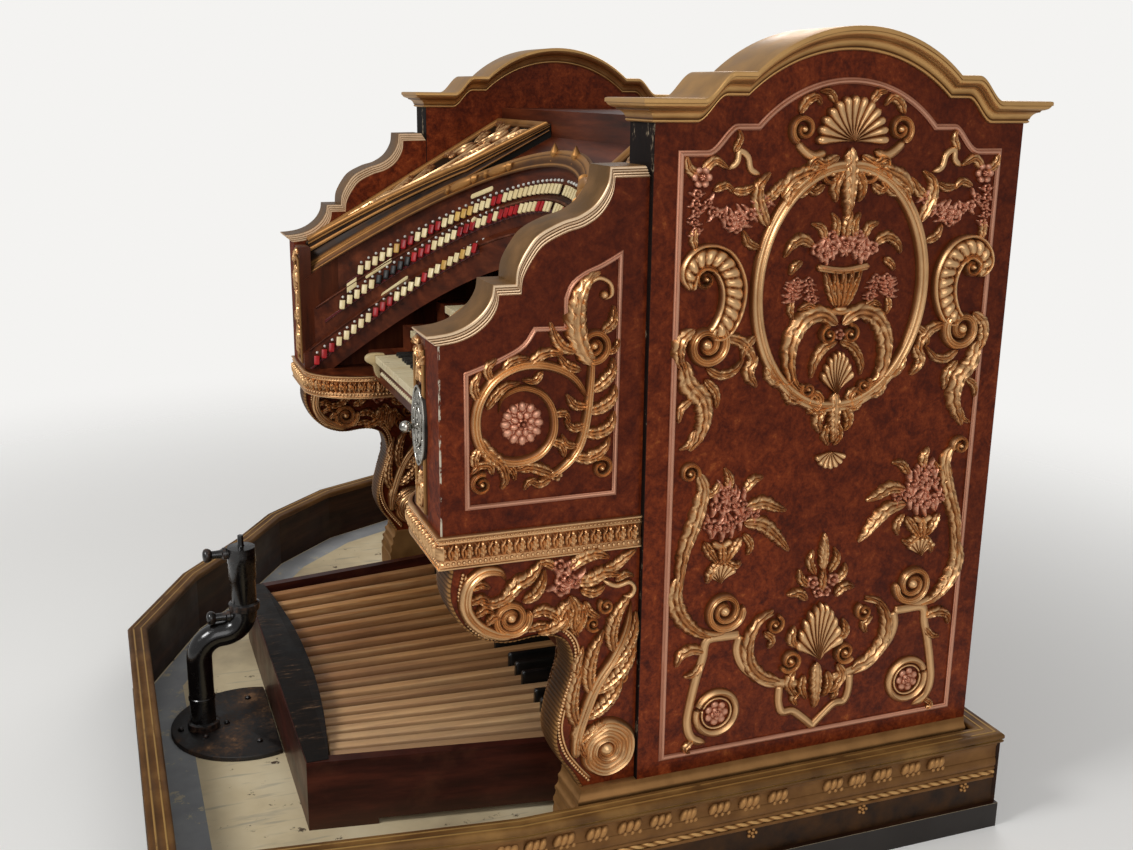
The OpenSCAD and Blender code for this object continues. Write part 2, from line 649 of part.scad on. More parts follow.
// Desk that carries the keyboards between the arms
desk_setback = 12;
module key_desk() {
    front_y = arm_front_y + manual_front_d + desk_setback;
    on_deck() color("SaddleBrown") {
        translate([-arm_gap_half, front_y, desk_z])
            cube([2 * arm_gap_half, music_y - front_y, desk_top_z - desk_z]);
        for (side = [-1, 1])
            translate([side > 0 ? arm_gap_half : -jamb_half, tower_front_y, desk_z])
                cube([jamb_half - arm_gap_half, music_y - tower_front_y, desk_top_z - desk_z]);
        translate([-tower_in_x, tower_front_y, desk_z - panel_t])
            cube([2 * tower_in_x, music_y + panel_t - tower_front_y, panel_t]);
    }
}

// Keyboards with their white and black keys
black_slots = [1, 2, 4, 5, 6];
octave_whites = 7;
octaves = 5;
white_count = octaves * octave_whites + 1;
white_pitch = manual_w / white_count;
black_y = white_len - black_len;
function shown_len(i) = i == manuals - 1 ? white_len : manual_setback - key_gap;
module manual(i) {
    on_deck() translate([-manual_w / 2, manual_y(i), manual_z(i) - key_t]) {
        color("Ivory") for (k = [0 : white_count - 1])
            translate([k * white_pitch + key_gap / 2, 0, 0])
                cube([white_pitch - key_gap, shown_len(i), key_t]);
        color("Black") for (octave = [0 : octaves - 1], s = black_slots)
            translate([(octave * octave_whites + s) * white_pitch - black_w / 2, black_y, key_t])
                cube([black_w, shown_len(i) - black_y, black_h]);
    }
}
module lower_manual() { manual(0); }
module middle_manual() { manual(1); }
module upper_manual() { manual(2); }

// Stepped blocks at both ends of the keyboards
module key_cheeks() {
    on_deck() color("SaddleBrown") for (side = [-1, 1], i = [0 : manuals - 1]) {
        z0 = i == 0 ? desk_top_z : manual_z(i - 1);
        x0 = manual_w / 2 + key_gap;
        translate([side > 0 ? x0 : -arm_gap_half, manual_y(i), z0])
            cube([arm_gap_half - x0, name_y - manual_y(i), manual_z(i) - z0]);
    }
}

// Rails that carry the upper keyboards, each with a row of round pistons in its front
key_lip = 8;
piston_dia = 14;
piston_groups = 4;
pistons_in_group = 5;
piston_pitch = 24;
piston_len = 6;
module piston_rails() {
    on_deck() color("SaddleBrown") for (i = [1 : manuals - 1]) {
        y0 = manual_y(i) + key_lip;
        y1 = i == manuals - 1 ? name_y : manual_y(i + 1) + key_lip;
        mid_z = (manual_z(i - 1) + manual_z(i) - key_t) / 2 + black_h / 2;
        translate([-manual_w / 2, y0, desk_top_z])
            cube([manual_w, y1 - y0, manual_z(i) - key_t - desk_top_z]);
        for (g = [0 : piston_groups - 1], k = [0 : pistons_in_group - 1])
            translate([((g + 1 / 2) / piston_groups - 1 / 2) * manual_w
                + (k - (pistons_in_group - 1) / 2) * piston_pitch, y0, mid_z])
                rotate([90, 0, 0]) cylinder(h = piston_len, d = piston_dia);
    }
}

// Upright board behind the upper keyboard, under the stop rail
module name_board() {
    ledge_y = name_y - ledge_d + key_gap;
    on_deck() color("SaddleBrown") {
        side_plate(-jamb_half, jamb_half) polygon([[name_y, desk_top_z], [name_y + panel_t, desk_top_z],
            [name_y + panel_t, low_z(name_y + panel_t)], [name_y, low_z(name_y)]]);
        translate([-manual_w / 2, ledge_y, manual_z(manuals - 1) - key_t])
            cube([manual_w, name_y + panel_t / 2 - ledge_y, key_t + black_h]);
    }
}

// Curved stop rail in three terraces, each with its own curve and slope
// Each terrace is a setback of its curve, a drop at the rail's end and a slope
underside_drop = 300;
underside_slope = 0.85;
terrace_drops = [0, 100, 196];
terrace_slopes = [rail_slope, 0.72, 0.8];
terrace_setbacks = [0, 26, 52];
function terrace_z(i, y) = rail_front_z - terrace_drops[i] + terrace_slopes[i] * (y - rail_end_y);
function low_z(y) = rail_front_z - underside_drop + underside_slope * (y - rail_end_y);
module stop_rail() {
    y0 = arm_front_y;
    y1 = music_y;
    on_deck() color("SaddleBrown") for (i = [0 : len(terrace_drops) - 1]) intersection() {
        side_plate(-jamb_half, jamb_half)
            polygon([[y0, low_z(y0)], [y1, low_z(y1)], [y1, terrace_z(i, y1)], [y0, terrace_z(i, y0)]]);
        difference() {
            translate([-jamb_half, y0, 0]) cube([2 * jamb_half, y1 - y0, lid_z]);
            translate([0, rail_center_y, -over])
                cylinder(h = lid_z + 2 * over, r = stop_r - terrace_setbacks[i], $fn = wide_fn);
        }
    }
}

// Gilt moulding along the top of the stop rail, with two small finials in its middle
finial_x = 75;
finial_shares = [[0, 0], [0.28, 0], [0.28, 0.12], [0.16, 0.2], [0.26, 0.38], [0.2, 0.62], [0.06, 0.9],
    [0, 1]];
module rail_moulding() {
    y0 = arm_front_y;
    y1 = music_y;
    on_deck() color("Goldenrod") {
        intersection() {
            side_plate(-jamb_half, jamb_half) polygon([[y0, rail_z(y0)], [y1, rail_z(y1)],
                [y1, rail_z(y1) + moulding_h], [y0, rail_z(y0) + moulding_h]]);
            translate([0, rail_center_y, 0]) difference() {
                cylinder(h = lid_z, r = stop_r + moulding_d / 2, $fn = wide_fn);
                translate([0, 0, -over])
                    cylinder(h = lid_z + 2 * over, r = stop_r - moulding_d / 2, $fn = wide_fn);
            }
        }
        for (side = [-1, 1]) {
            y = rail_center_y + sqrt(stop_r * stop_r - finial_x * finial_x);
            translate([side * finial_x, y, rail_z(y)])
                rotate_extrude()
                    polygon([for (s = finial_shares) [s.x * finial_h, s.y * (finial_h + moulding_h)]]);
        }
    }
}

// Row of stop tablets along a terrace, at a drop below the rail's top, between two angles
tab_gap = 0.3;
tab_drops = [72, 132, 222];
tab_slopes = [0.7, 0.78, 0.9];
lower_gap_half = 322;
module stop_tabs(row, x_low) {
    r = stop_r - terrace_setbacks[row];
    half_count = floor(asin((jamb_half - tab_w) / r) / (tab_pitch / r * 180 / PI) - 1);
    on_deck() for (k = [-half_count : half_count]) {
        a = k * tab_pitch / r * 180 / PI;
        y = rail_center_y + r * cos(a);
        z = rail_front_z - tab_drops[row] + tab_slopes[row] * (y - rail_end_y);
        if (abs(r * sin(a)) > x_low)
            translate([r * sin(a), y, z]) rotate([0, 0, -a])
                translate([-tab_w / 2, -tab_len - tab_gap, -tab_t]) cube([tab_w, tab_len, tab_t]);
    }
}
module stop_tabs_upper() { color("Ivory") stop_tabs(0, -1); }
module stop_tabs_middle() { color("Crimson") stop_tabs(1, -1); }
module stop_tabs_lower() { color("Ivory") stop_tabs(2, lower_gap_half); }

// Sloping carved corner piece between an arm, the stop rail and the music panel
spandrel_front_d = 33;
spandrel_rise = 86;
spandrel_slope = 0.577;
spandrel_in_share = 0.478;
module spandrel(side) {
    y0 = arm_front_y + spandrel_front_d;
    y1 = music_y;
    z0 = rail_z(y0) + spandrel_rise;
    z1 = z0 + spandrel_slope * (y1 - y0);
    on_side(side) color("Goldenrod") difference() {
        intersection() {
            side_plate(0, cheek_in_x)
                polygon([[y0, rail_z(y0)], [y1, rail_z(y1)], [y1, z1], [y0, z0]]);
            linear_extrude(lid_z + over) polygon([[cheek_in_x, y0], [cheek_in_x, tower_front_y],
                [tower_in_x, tower_front_y], [tower_in_x, y1], [jamb_half * spandrel_in_share, y1], [jamb_half, y0]]);
        }
        translate([0, rail_center_y, 0]) cylinder(h = lid_z, r = stop_r + moulding_d / 2, $fn = wide_fn);
    }
}
module right_spandrel() { spandrel(1); }
module left_spandrel() { spandrel(-1); }

// Oval plate on the front of the right arm, with a ball knob on a short stem
oval_t = 6;
oval_z = 955;
stem_dia = 14;
stem_len = 30;
module oval_plate() {
    x = (jamb_half + cheek_in_x) / 2;
    on_deck() color("Silver") translate([x, arm_front_y, oval_z]) rotate([90, 0, 0]) {
        linear_extrude(oval_t) polygon(oval(oval_w / 2, oval_len / 2));
        translate([0, 0, oval_t]) cylinder(h = stem_len, d = stem_dia);
        translate([0, 0, oval_t + stem_len + knob_dia / 4]) sphere(d = knob_dia);
    }
}

// Pedalboard that fans out from the heel rail and is hollow across
natural_count = 19;
sharp_slots = [0, 1, 3, 4, 5, 7, 8, 10, 11, 12, 14, 15, 17];
pedal_flare = 0.16;
natural_gap = 3;
toe_gap = 91;
bearer_d = 40;
notch_h = 14;
notch_front_d = 150;
notch_back_d = 560;
pedal_sink = 14;
pedal_y = arm_front_y - pedal_front_d;
fan_r = pedal_half / pedal_flare;
fan_y = pedal_y + heel_rail_d - fan_r;
natural_len = pedal_d - heel_rail_d - toe_gap - pedal_side_t - natural_gap;
natural_step = 2 * (pedal_half - pedal_side_t - pedal_w) / (natural_count - 1) / fan_r * 180 / PI;
end_x = fan_r * sin(natural_step * (natural_count - 1) / 2);
function hollow_z(x) = hollow_r - sqrt(hollow_r * hollow_r - x * x);
pedal_bottom = pedal_h - pedal_sink - pedal_body_h - hollow_z(end_x);
module pedal_outline(inset) {
    x0 = pedal_half - inset;
    x1 = x0 + pedal_flare * pedal_d;
    polygon([[-x0, pedal_y + inset], [x0, pedal_y + inset],
        [x1, pedal_y + pedal_d - inset], [-x1, pedal_y + pedal_d - inset]]);
}
module fan_ring(r0, r1, h) {
    intersection() {
        linear_extrude(h) pedal_outline(pedal_side_t);
        translate([0, fan_y, 0]) difference() {
            cylinder(h = h, r = r1, $fn = wide_fn);
            translate([0, 0, -over]) cylinder(h = h + 2 * over, r = r0, $fn = wide_fn);
        }
    }
}
module bearer(r0) {
    grown = r0 / fan_r;
    r = hollow_r * grown * grown;
    difference() {
        fan_ring(r0, r0 + bearer_d, pedal_h);
        translate([0, pedal_y, pedal_bottom + r]) rotate([-90, 0, 0])
            cylinder(h = pedal_d, r = r, $fn = wide_fn);
    }
}
module pedal_frame() {
    on_deck() color("DarkRed") difference() {
        union() {
            linear_extrude(pedal_h) difference() {
                pedal_outline(0);
                pedal_outline(pedal_side_t);
            }
            fan_ring(fan_r - heel_rail_d - over, fan_r, pedal_h);
            bearer(fan_r);
            bearer(fan_r + natural_len - bearer_d);
        }
        translate([-tower_out_x, pedal_y + notch_front_d, -over])
            cube([2 * tower_out_x, notch_back_d - notch_front_d, notch_h + over]);
    }
}
module pedal(slot, r0, length, w, h) {
    a = (slot - (natural_count - 1) / 2) * natural_step;
    translate([0, fan_y, 0]) rotate([0, 0, -a])
        translate([-w / 2, r0, pedal_bottom + hollow_z(fan_r * sin(a))]) cube([w, length, h]);
}
module pedal_naturals() {
    on_deck() color("BurlyWood") for (i = [0 : natural_count - 1])
        pedal(i, fan_r + natural_gap, natural_len, pedal_w, pedal_body_h);
}
module pedal_sharps() {
    on_deck() color("Black") for (i = sharp_slots)
        pedal(i + 1 / 2, fan_r + natural_gap + natural_len - sharp_len, sharp_len, sharp_w,
            pedal_body_h + sharp_rise);
}

// Cast post that carried the bench seat, with its clamp screws and the rims of its joints
bend_r = post_offset / 2;
bend_z = 200;
stub_dia = 26;
stub_len = 90;
rim_dia_over = 16;
rim_h = 18;
base_y = pedal_y - base_gap - base_back_d;
post_setback = 108;
post_y = base_y - post_setback;
module seat_post() {
    top_z = bend_z + 2 * bend_r;
    on_deck() color("DimGray") {
        intersection() {
            translate([0, base_y, 0]) cylinder(h = base_t, r = base_r);
            translate([-base_r, base_y - base_r, 0]) cube([2 * base_r, base_r + base_back_d, base_t]);
        }
        translate([0, post_y, base_t]) cylinder(h = bend_z - base_t, d = pipe_dia);
        translate([0, post_y, base_t]) cylinder(h = rim_h, d = pipe_dia + rim_dia_over);
        translate([0, post_y + bend_r, bend_z]) rotate([90, 0, 90]) rotate([0, 0, 90])
            rotate_extrude(angle = 90) translate([bend_r, 0]) circle(d = pipe_dia);
        translate([0, post_y + bend_r, top_z]) rotate([90, 0, 90]) rotate([0, 0, -90])
            rotate_extrude(angle = 90) translate([bend_r, 0]) circle(d = pipe_dia);
        translate([0, post_y + post_offset, top_z]) cylinder(h = post_h - top_z, d = pipe_dia);
        translate([0, post_y + post_offset, top_z]) cylinder(h = rim_h, d = pipe_dia + rim_dia_over);
        translate([0, post_y + post_offset, post_h - rim_h]) cylinder(h = rim_h, d = pipe_dia + rim_dia_over);
        for (z = [post_h - stub_dia - rim_h, top_z - stub_dia / 2])
            translate([0, post_y + post_offset, z]) rotate([90, 0, 0]) cylinder(h = stub_len, d = stub_dia);
    }
}

platform_deck();
kerb_boards();
right_fascia();
kerb_rail();
right_plinth();
left_plinth();
right_tower();
left_tower();
right_cornice();
left_cornice();
right_tower_frame();
left_tower_frame();
right_leg();
left_leg();
right_arm();
left_arm();
right_arm_band();
left_arm_band();
right_cheek();
left_cheek();
right_cheek_cap();
left_cheek_cap();
right_cheek_frame();
left_cheek_frame();
back_panel();
top_lid();
music_panel();
knee_panel();
key_desk();
key_cheeks();
lower_manual();
middle_manual();
upper_manual();
piston_rails();
name_board();
stop_rail();
rail_moulding();
stop_tabs_upper();
stop_tabs_middle();
stop_tabs_lower();
right_spandrel();
left_spandrel();
oval_plate();
pedal_frame();
pedal_naturals();
pedal_sharps();
seat_post();
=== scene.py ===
import math
import bpy
import numpy as np
from mathutils import Matrix, Vector


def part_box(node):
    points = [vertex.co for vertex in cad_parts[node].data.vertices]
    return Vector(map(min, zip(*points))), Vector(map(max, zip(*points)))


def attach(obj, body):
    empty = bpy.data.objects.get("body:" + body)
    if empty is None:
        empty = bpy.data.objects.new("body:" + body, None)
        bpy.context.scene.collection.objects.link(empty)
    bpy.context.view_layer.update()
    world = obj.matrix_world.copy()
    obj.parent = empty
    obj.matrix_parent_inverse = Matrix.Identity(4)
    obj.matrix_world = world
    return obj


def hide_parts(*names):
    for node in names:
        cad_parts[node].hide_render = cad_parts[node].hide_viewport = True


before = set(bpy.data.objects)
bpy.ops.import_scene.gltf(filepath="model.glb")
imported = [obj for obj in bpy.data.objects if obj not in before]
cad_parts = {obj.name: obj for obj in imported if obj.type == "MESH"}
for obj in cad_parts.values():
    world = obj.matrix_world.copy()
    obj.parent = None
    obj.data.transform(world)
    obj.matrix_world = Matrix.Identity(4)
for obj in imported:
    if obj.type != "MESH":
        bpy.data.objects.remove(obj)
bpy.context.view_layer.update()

# The console's own measures: millimetres from the middle of the keyboards, from the towers'
# front edge less 278, and from the deck. Every piece below is laid out in them.
middle_x = (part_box("left_tower")[0].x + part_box("right_tower")[1].x) * 500
front_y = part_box("right_tower")[0].y * 1000 - 278
deck_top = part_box("platform_deck")[1].z * 1000


def row(points):
    """Console millimetres to metres in the row frame: the console's corner is added, then all is divided by 1000."""
    return (np.asarray(points, float) + [middle_x, front_y, deck_top]) / 1000


# View of the photograph: from the organist's right and well above the keys, turned to look down
# across the keyboards. The place and the turns come from the vanishing points of the towers.
eye = row([3019, -697, 1580])
turn, tilt, roll = -0.3625, -0.2601, 0.0113
ahead = Vector((-math.cos(tilt) * math.cos(turn), -math.cos(tilt) * math.sin(turn), math.sin(tilt)))
level = ahead.cross(Vector((0, 0, 1))).normalized()
above = level.cross(ahead)
right = level * math.cos(roll) + above * math.sin(roll)
up = above * math.cos(roll) - level * math.sin(roll)
view = bpy.data.objects.new("photo_view", bpy.data.cameras.new("photo_view"))
view.matrix_world = Matrix.Translation(eye) @ Matrix((right, up, -ahead)).transposed().to_4x4()
view.data.lens = 40.085
view.data.sensor_width = 36
view.data.clip_end = 100
bpy.context.scene.collection.objects.link(view)
bpy.context.scene.camera = view


# Studio: a pale floor that keeps the platform's shadow, one large soft lamp high on the
# photographer's left, a weaker one behind the photographer, and an even white surround.
def linear(code, alpha=1.0):
    """An sRGB hex colour as linear light: each channel is raised as the sRGB curve says."""
    parts = [int(code[i:i + 2], 16) / 255 for i in (1, 3, 5)]
    return tuple(c / 12.92 if c <= 0.04045 else ((c + 0.055) / 1.055) ** 2.4 for c in parts) + (alpha,)


def add(tree, kind, inputs=None, **settings):
    """Adds a node, sets what settings names on it, and sets or links each of its inputs."""
    node = tree.nodes.new(kind)
    for key, value in settings.items():
        setattr(node, key, value)
    for key, value in (inputs or {}).items():
        if isinstance(value, bpy.types.NodeSocket):
            tree.links.new(value, node.inputs[key])
        else:
            node.inputs[key].default_value = value
    return node


def lamp(name, place, aim, size, power):
    """A soft square lamp at a place in metres, turned to face the point it lights."""
    light = bpy.data.lights.new(name, "AREA")
    light.shape, light.size, light.energy = "SQUARE", size, power
    one = bpy.data.objects.new(name, light)
    one.location = place
    one.rotation_euler = (Vector(aim) - Vector(place)).to_track_quat("-Z", "Y").to_euler()
    bpy.context.scene.collection.objects.link(one)


lamp("key_light", (1.6, -4.2, 4.6), (0.3, 0, 0.7), 1.6, 150)
lamp("fill_light", (4.6, -0.6, 2.4), (0.3, 0.1, 0.7), 2.6, 45)
lamp("back_light", (-3.2, 3.4, 3.6), (0.3, 0.2, 0.8), 2.4, 60)

world = bpy.data.worlds.new("white_surround")
world.use_nodes = True
bpy.context.scene.world = world
sky = world.node_tree
sky.nodes.clear()
rays = add(sky, "ShaderNodeLightPath")
lit = add(sky, "ShaderNodeBackground", {"Color": linear("#ffffff"), "Strength": 0.42})
seen = add(sky, "ShaderNodeBackground", {"Color": linear("#f4f3f1"), "Strength": 1.0})
shown = add(sky, "ShaderNodeMixShader", {0: rays.outputs["Is Camera Ray"], 1: lit.outputs[0],
                                         2: seen.outputs[0]})
add(sky, "ShaderNodeOutputWorld", {"Surface": shown.outputs[0]})

floor_mesh = bpy.data.meshes.new("studio_floor")
floor_mesh.from_pydata([(-30, -30, 0), (30, -30, 0), (30, 30, 0), (-30, 30, 0)], [], [(0, 1, 2, 3)])
studio_floor = bpy.data.objects.new("studio_floor", floor_mesh)
bpy.context.scene.collection.objects.link(studio_floor)
pale = bpy.data.materials.new("pale_paper")
pale.use_nodes = True
pale.node_tree.nodes.clear()
paper = add(pale.node_tree, "ShaderNodeBsdfPrincipled", {"Base Color": linear("#f1f0ed"), "Roughness": 0.9})
spot = add(pale.node_tree, "ShaderNodeTexCoord").outputs["Object"]
reach = add(pale.node_tree, "ShaderNodeVectorMath", {0: spot}, operation="LENGTH").outputs["Value"]
fade = add(pale.node_tree, "ShaderNodeMapRange", {"Value": reach, "From Min": 1.5, "From Max": 4.2},
           interpolation_type="SMOOTHSTEP").outputs[0]
clear = add(pale.node_tree, "ShaderNodeBsdfTransparent")
blend = add(pale.node_tree, "ShaderNodeMixShader", {0: fade, 1: paper.outputs[0], 2: clear.outputs[0]})
add(pale.node_tree, "ShaderNodeOutputMaterial", {"Surface": blend.outputs[0]})
floor_mesh.materials.append(pale)
bpy.context.scene.view_settings.view_transform = "Standard"


# Platform deck: boards under cream oil paint, scuffed by shoes to a grey margin along the kerb.
# The CAD slab stays; the paint is mottled at 60 mm, with grey scratches and dark chips.
def coat(name, draw):
    """A named material whose nodes draw(tree) lays out; draw returns the surface's socket."""
    made = bpy.data.materials.new(name)
    made.use_nodes = True
    made.node_tree.nodes.clear()
    add(made.node_tree, "ShaderNodeOutputMaterial", {"Surface": draw(made.node_tree)})
    return made


def grain(tree, millimetres, stretch=(1, 1, 1), detail=4.0, rough=0.55, distortion=0.0):
    """Noise whose blobs are so many millimetres wide along each axis after the stretch."""
    place = add(tree, "ShaderNodeTexCoord").outputs["Object"]
    scaled = add(tree, "ShaderNodeMapping", {"Vector": place, "Scale": stretch})
    return add(tree, "ShaderNodeTexNoise", {
        "Vector": scaled.outputs[0], "Scale": 500 / millimetres, "Detail": detail,
        "Roughness": rough, "Distortion": distortion}).outputs["Fac"]


def ramp(tree, value, stops):
    """A colour ramp over the value, from (place, hex colour) stops."""
    node = add(tree, "ShaderNodeValToRGB", {"Fac": value})
    bar_ = node.color_ramp
    while len(bar_.elements) < len(stops):
        bar_.elements.new(0.5)
    for element, (place, code) in zip(bar_.elements, stops):
        element.position = place
        element.color = linear(code)
    return node.outputs["Color"]


def shift(tree, value, low, high, to_low=0.0, to_high=1.0):
    """The value's range from low to high spread over another range, and clamped there."""
    return add(tree, "ShaderNodeMapRange", {
        "Value": value, "From Min": low, "From Max": high, "To Min": to_low, "To Max": to_high}).outputs[0]


def blend_colours(tree, share, first, second, mode="MIX"):
    """Two colours mixed by a share; each is a socket or a hex code."""
    given = {"Factor": share}
    for key, value in (("A", first), ("B", second)):
        given[key] = linear(value) if isinstance(value, str) else value
    node = add(tree, "ShaderNodeMix", data_type="RGBA", blend_type=mode)
    spots = {"Factor": 0, "A": 6, "B": 7}
    for key, value in given.items():
        if isinstance(value, bpy.types.NodeSocket):
            tree.links.new(value, node.inputs[spots[key]])
        else:
            node.inputs[spots[key]].default_value = value
    return node.outputs[2]


def dent(tree, height, millimetres, strength=1.0):
    """A bump from a height value, so many millimetres deep."""
    return add(tree, "ShaderNodeBump", {
        "Height": height, "Distance": millimetres / 1000, "Strength": strength}).outputs[0]


def draw_deck(tree):
    blotch = grain(tree, 130, detail=5)
    scratch = grain(tree, 9, (1, 0.12, 1), detail=3)
    chips = grain(tree, 26, detail=6, rough=0.7)
    tone = ramp(tree, blotch, [(0.3, "#ab9a7c"), (0.5, "#cdbb96"), (0.7, "#dccdab")])
    scuffed = blend_colours(tree, shift(tree, scratch, 0.6, 0.72, 0, 0.5), tone, "#8c887e")
    wear_and_shade = blend_colours(tree, shift(tree, chips, 0.63, 0.67), scuffed, "#4a3a2a")
    height = add(tree, "ShaderNodeSeparateXYZ", {0: add(tree,
                                                        "ShaderNodeTexCoord").outputs["Object"]}).outputs["Z"]
    # Below its top the deck's sides are coloured dark brown.
    wear_and_shade = blend_colours(tree, shift(tree, height, 0.0595, 0.0599), "#1d150f", wear_and_shade)
    return add(tree, "ShaderNodeBsdfPrincipled", {
        "Base Color": wear_and_shade, "Roughness": shift(tree, blotch, 0.3, 0.7, 0.5, 0.75),
        "Normal": dent(tree, chips, 0.6)}).outputs[0]


def dress(material, *nodes):
    """Gives CAD nodes that stay as they are their material."""
    for name in nodes:
        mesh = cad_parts[name].data
        mesh.materials.clear()
        mesh.materials.append(material)


dress(coat("cream_deck_paint", draw_deck), "platform_deck")


# Kerb: dark stained pine boards nailed round the deck, rubbed pale along their grain. The boards of the CAD stay;
# the grain runs level, and pale dust lies over them in clouds.
def draw_kerb(tree):
    streak = grain(tree, 40, (0.25, 0.25, 3), detail=6, rough=0.65)
    dust = grain(tree, 60, detail=5)
    tone = ramp(tree, streak, [(0.3, "#1b0e07"), (0.52, "#2c180d"), (0.75, "#402716")])
    dusty = blend_colours(tree, shift(tree, dust, 0.55, 0.8, 0, 0.18), tone, "#6e5e48")
    return add(tree, "ShaderNodeBsdfPrincipled", {
        "Base Color": dusty, "Roughness": shift(tree, dust, 0.3, 0.7, 0.32, 0.6),
        "Specular IOR Level": 0.15, "Normal": dent(tree, streak, 0.2)}).outputs[0]


kerb_stain = coat("dark_stained_pine", draw_kerb)
dress(kerb_stain, "kerb_boards")


# Kerb rail: a planed wooden cap run on all the boards, stained brown and lined with two thin
# gilt beads. It is a profile carried round the platform's outline with mitred corners.
def outward(part):
    """A closed part with its faces turned out: the sum of the signed volumes between its middle and
    its faces, a . (b x c) / 6 for each half of a quad, has to be above zero."""
    points, quads, wear_and_shade = part
    a, b, c, d = (points[quads[:, k]] - points.mean(axis=0) for k in range(4))
    volume = (a * (np.cross(b, c) + np.cross(c, d))).sum()
    return part if volume > 0 else (points, quads[:, ::-1], wear_and_shade)


def piece(name, parts, material, slot, *nodes, sharp=35):
    """One mesh from parts, each (points in console millimetres, quads, a value of painted shade and wear for each
    point). Points of one part that fall together are merged, so collapsed ends close and their quads become
    triangles."""
    parts = [outward(part) for part in parts]
    points = np.concatenate([part[0] for part in parts])
    wear_and_shade = np.concatenate([part[2] for part in parts])
    starts = np.cumsum([0] + [len(part[0]) for part in parts])
    quads = np.concatenate([part[1] + start for part, start in zip(parts, starts)])
    owner = np.repeat(np.arange(len(parts)), [len(part[0]) for part in parts])
    keys = np.column_stack([owner, np.round(points * 50).astype(np.int64)])
    _, first, place = np.unique(keys, axis=0, return_index=True, return_inverse=True)
    quads = place.reshape(-1)[quads]
    same = quads == np.roll(quads, -1, axis=1)
    whole = quads[~same.any(axis=1)]
    crossed = (whole[:, 0] == whole[:, 2]) | (whole[:, 1] == whole[:, 3])
    whole = whole[~crossed]
    once = same.sum(axis=1) == 1
    corner = np.argmax(same[once], axis=1)
    keep = np.ones((once.sum(), 4), bool)
    keep[np.arange(len(corner)), corner] = False
    thirds = quads[once][keep].reshape(-1, 3)
    mesh = bpy.data.meshes.new(name)
    mesh.from_pydata(row(points[first]), [], whole.tolist() + thirds.tolist())
    mesh.attributes.new("wear_and_shade", "FLOAT", "POINT").data.foreach_set("value", wear_and_shade[first].astype(np.float32))
    mesh.polygons.foreach_set("use_smooth", np.ones(len(mesh.polygons), bool))
    mesh.set_sharp_from_angle(angle=math.radians(sharp))
    mesh.materials.append(material)
    made = bpy.data.objects.new(name, mesh)
    bpy.context.scene.collection.objects.link(made)
    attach(made, "root")
    if nodes:
        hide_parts(*nodes)
    return made


def skin(rings, wear_and_shade=None, capped=True, looped=False):
    """Quads over an array of rings, each a closed loop of the same number of points. A capped skin
    is closed at both ends by a fan to the ring's middle, a looped one joins its last ring to its first."""
    rings = np.asarray(rings, float)
    # Each point's value here is read by the finishes. On gilding, silver plate and the maple pedals, low values
    # paint shade into hollows, at the feet of raised work and on pedal sides, with real glaze or tarnish in the
    # hollows too. High values paint ridges and tops light, as rubbed leaf and as painted highlight. On the kerb cap
    # the value marks the gilt lines, and on the iron the chipped rims.
    wear_and_shade = np.ones(rings.shape[:2]) if wear_and_shade is None else np.broadcast_to(wear_and_shade, rings.shape[:2])
    if looped:
        rings = np.concatenate([rings, rings[:1]])
        wear_and_shade = np.concatenate([wear_and_shade, wear_and_shade[:1]])
    elif capped:
        ends = rings[[0, -1]].mean(axis=1, keepdims=True).repeat(rings.shape[1], axis=1)
        rings = np.concatenate([ends[:1], rings, ends[1:]])
        wear_and_shade = np.concatenate([wear_and_shade[:1], wear_and_shade, wear_and_shade[-1:]])
    n, m = rings.shape[:2]
    i, j = np.meshgrid(np.arange(n - 1), np.arange(m), indexing="ij")
    k = (j + 1) % m
    quads = np.stack([i * m + j, (i + 1) * m + j, (i + 1) * m + k, i * m + k], axis=-1).reshape(-1, 4)
    return rings.reshape(-1, 3), quads, wear_and_shade.reshape(-1)


deck_low, deck_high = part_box("platform_deck")
deck_w, deck_d = (deck_high.x - deck_low.x) * 1000, (deck_high.y - deck_low.y) * 1000
platform_shares = np.array([
    (0, 1), (0, 0.695), (0.013, 0.525), (0.073, 0.375), (0.158, 0.26), (0.242, 0.193),
    (0.346, 0.091), (0.494, 0), (0.964, 0), (1, 0.375), (1, 1)])
platform_edge = (platform_shares - 0.5) * [deck_w, deck_d] - [middle_x, front_y]


def mitred(edge, distance):
    """A closed outline moved inwards by a distance, square to both of its edges at each corner."""
    ahead_ = np.roll(edge, -1, axis=0) - edge
    ahead_ /= np.linalg.norm(ahead_, axis=1)[:, None]
    inner = np.column_stack([-ahead_[:, 1], ahead_[:, 0]])
    before = np.roll(inner, 1, axis=0)
    along = (inner * before).sum(axis=1)[:, None]
    return edge + (inner + before) * distance / (1 + along)


rail_low, rail_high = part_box("kerb_rail")
rail_top = rail_high.z * 1000 - deck_top
rail_profile = np.array([
    (6, 0), (2.5, 0.5), (1, 3), (1, 6), (4, 7.5), (4, 9), (1.2, 10), (0, 12), (0, 17), (1.5, 20.5),
    (5, 23), (9, 23.6), (11, 22.6), (13, 22.6), (14.5, 24), (16.5, 24), (18, 22.6), (32, 22.6), (33.5, 24),
    (35.5, 24), (37, 22.6), (40, 23.2), (45, 22.5), (48.5, 20), (50,
                                                                 17), (50, 11), (48, 8), (47, 5), (44,
                                                                                                   1), (44,
                                                                                                        0)])
rail_rings = np.stack([
    np.column_stack([mitred(platform_edge, d), np.full(len(platform_edge), rail_top - 24 + h)])
    for d, h in rail_profile], axis=1)
gilt_line = (np.abs(rail_profile[:,
                                 0] - 15.5) < 1.6) | (np.abs(rail_profile[:,
                                                                          0] - 34.5) < 1.6) | (rail_profile[:, 1] == 7.5)


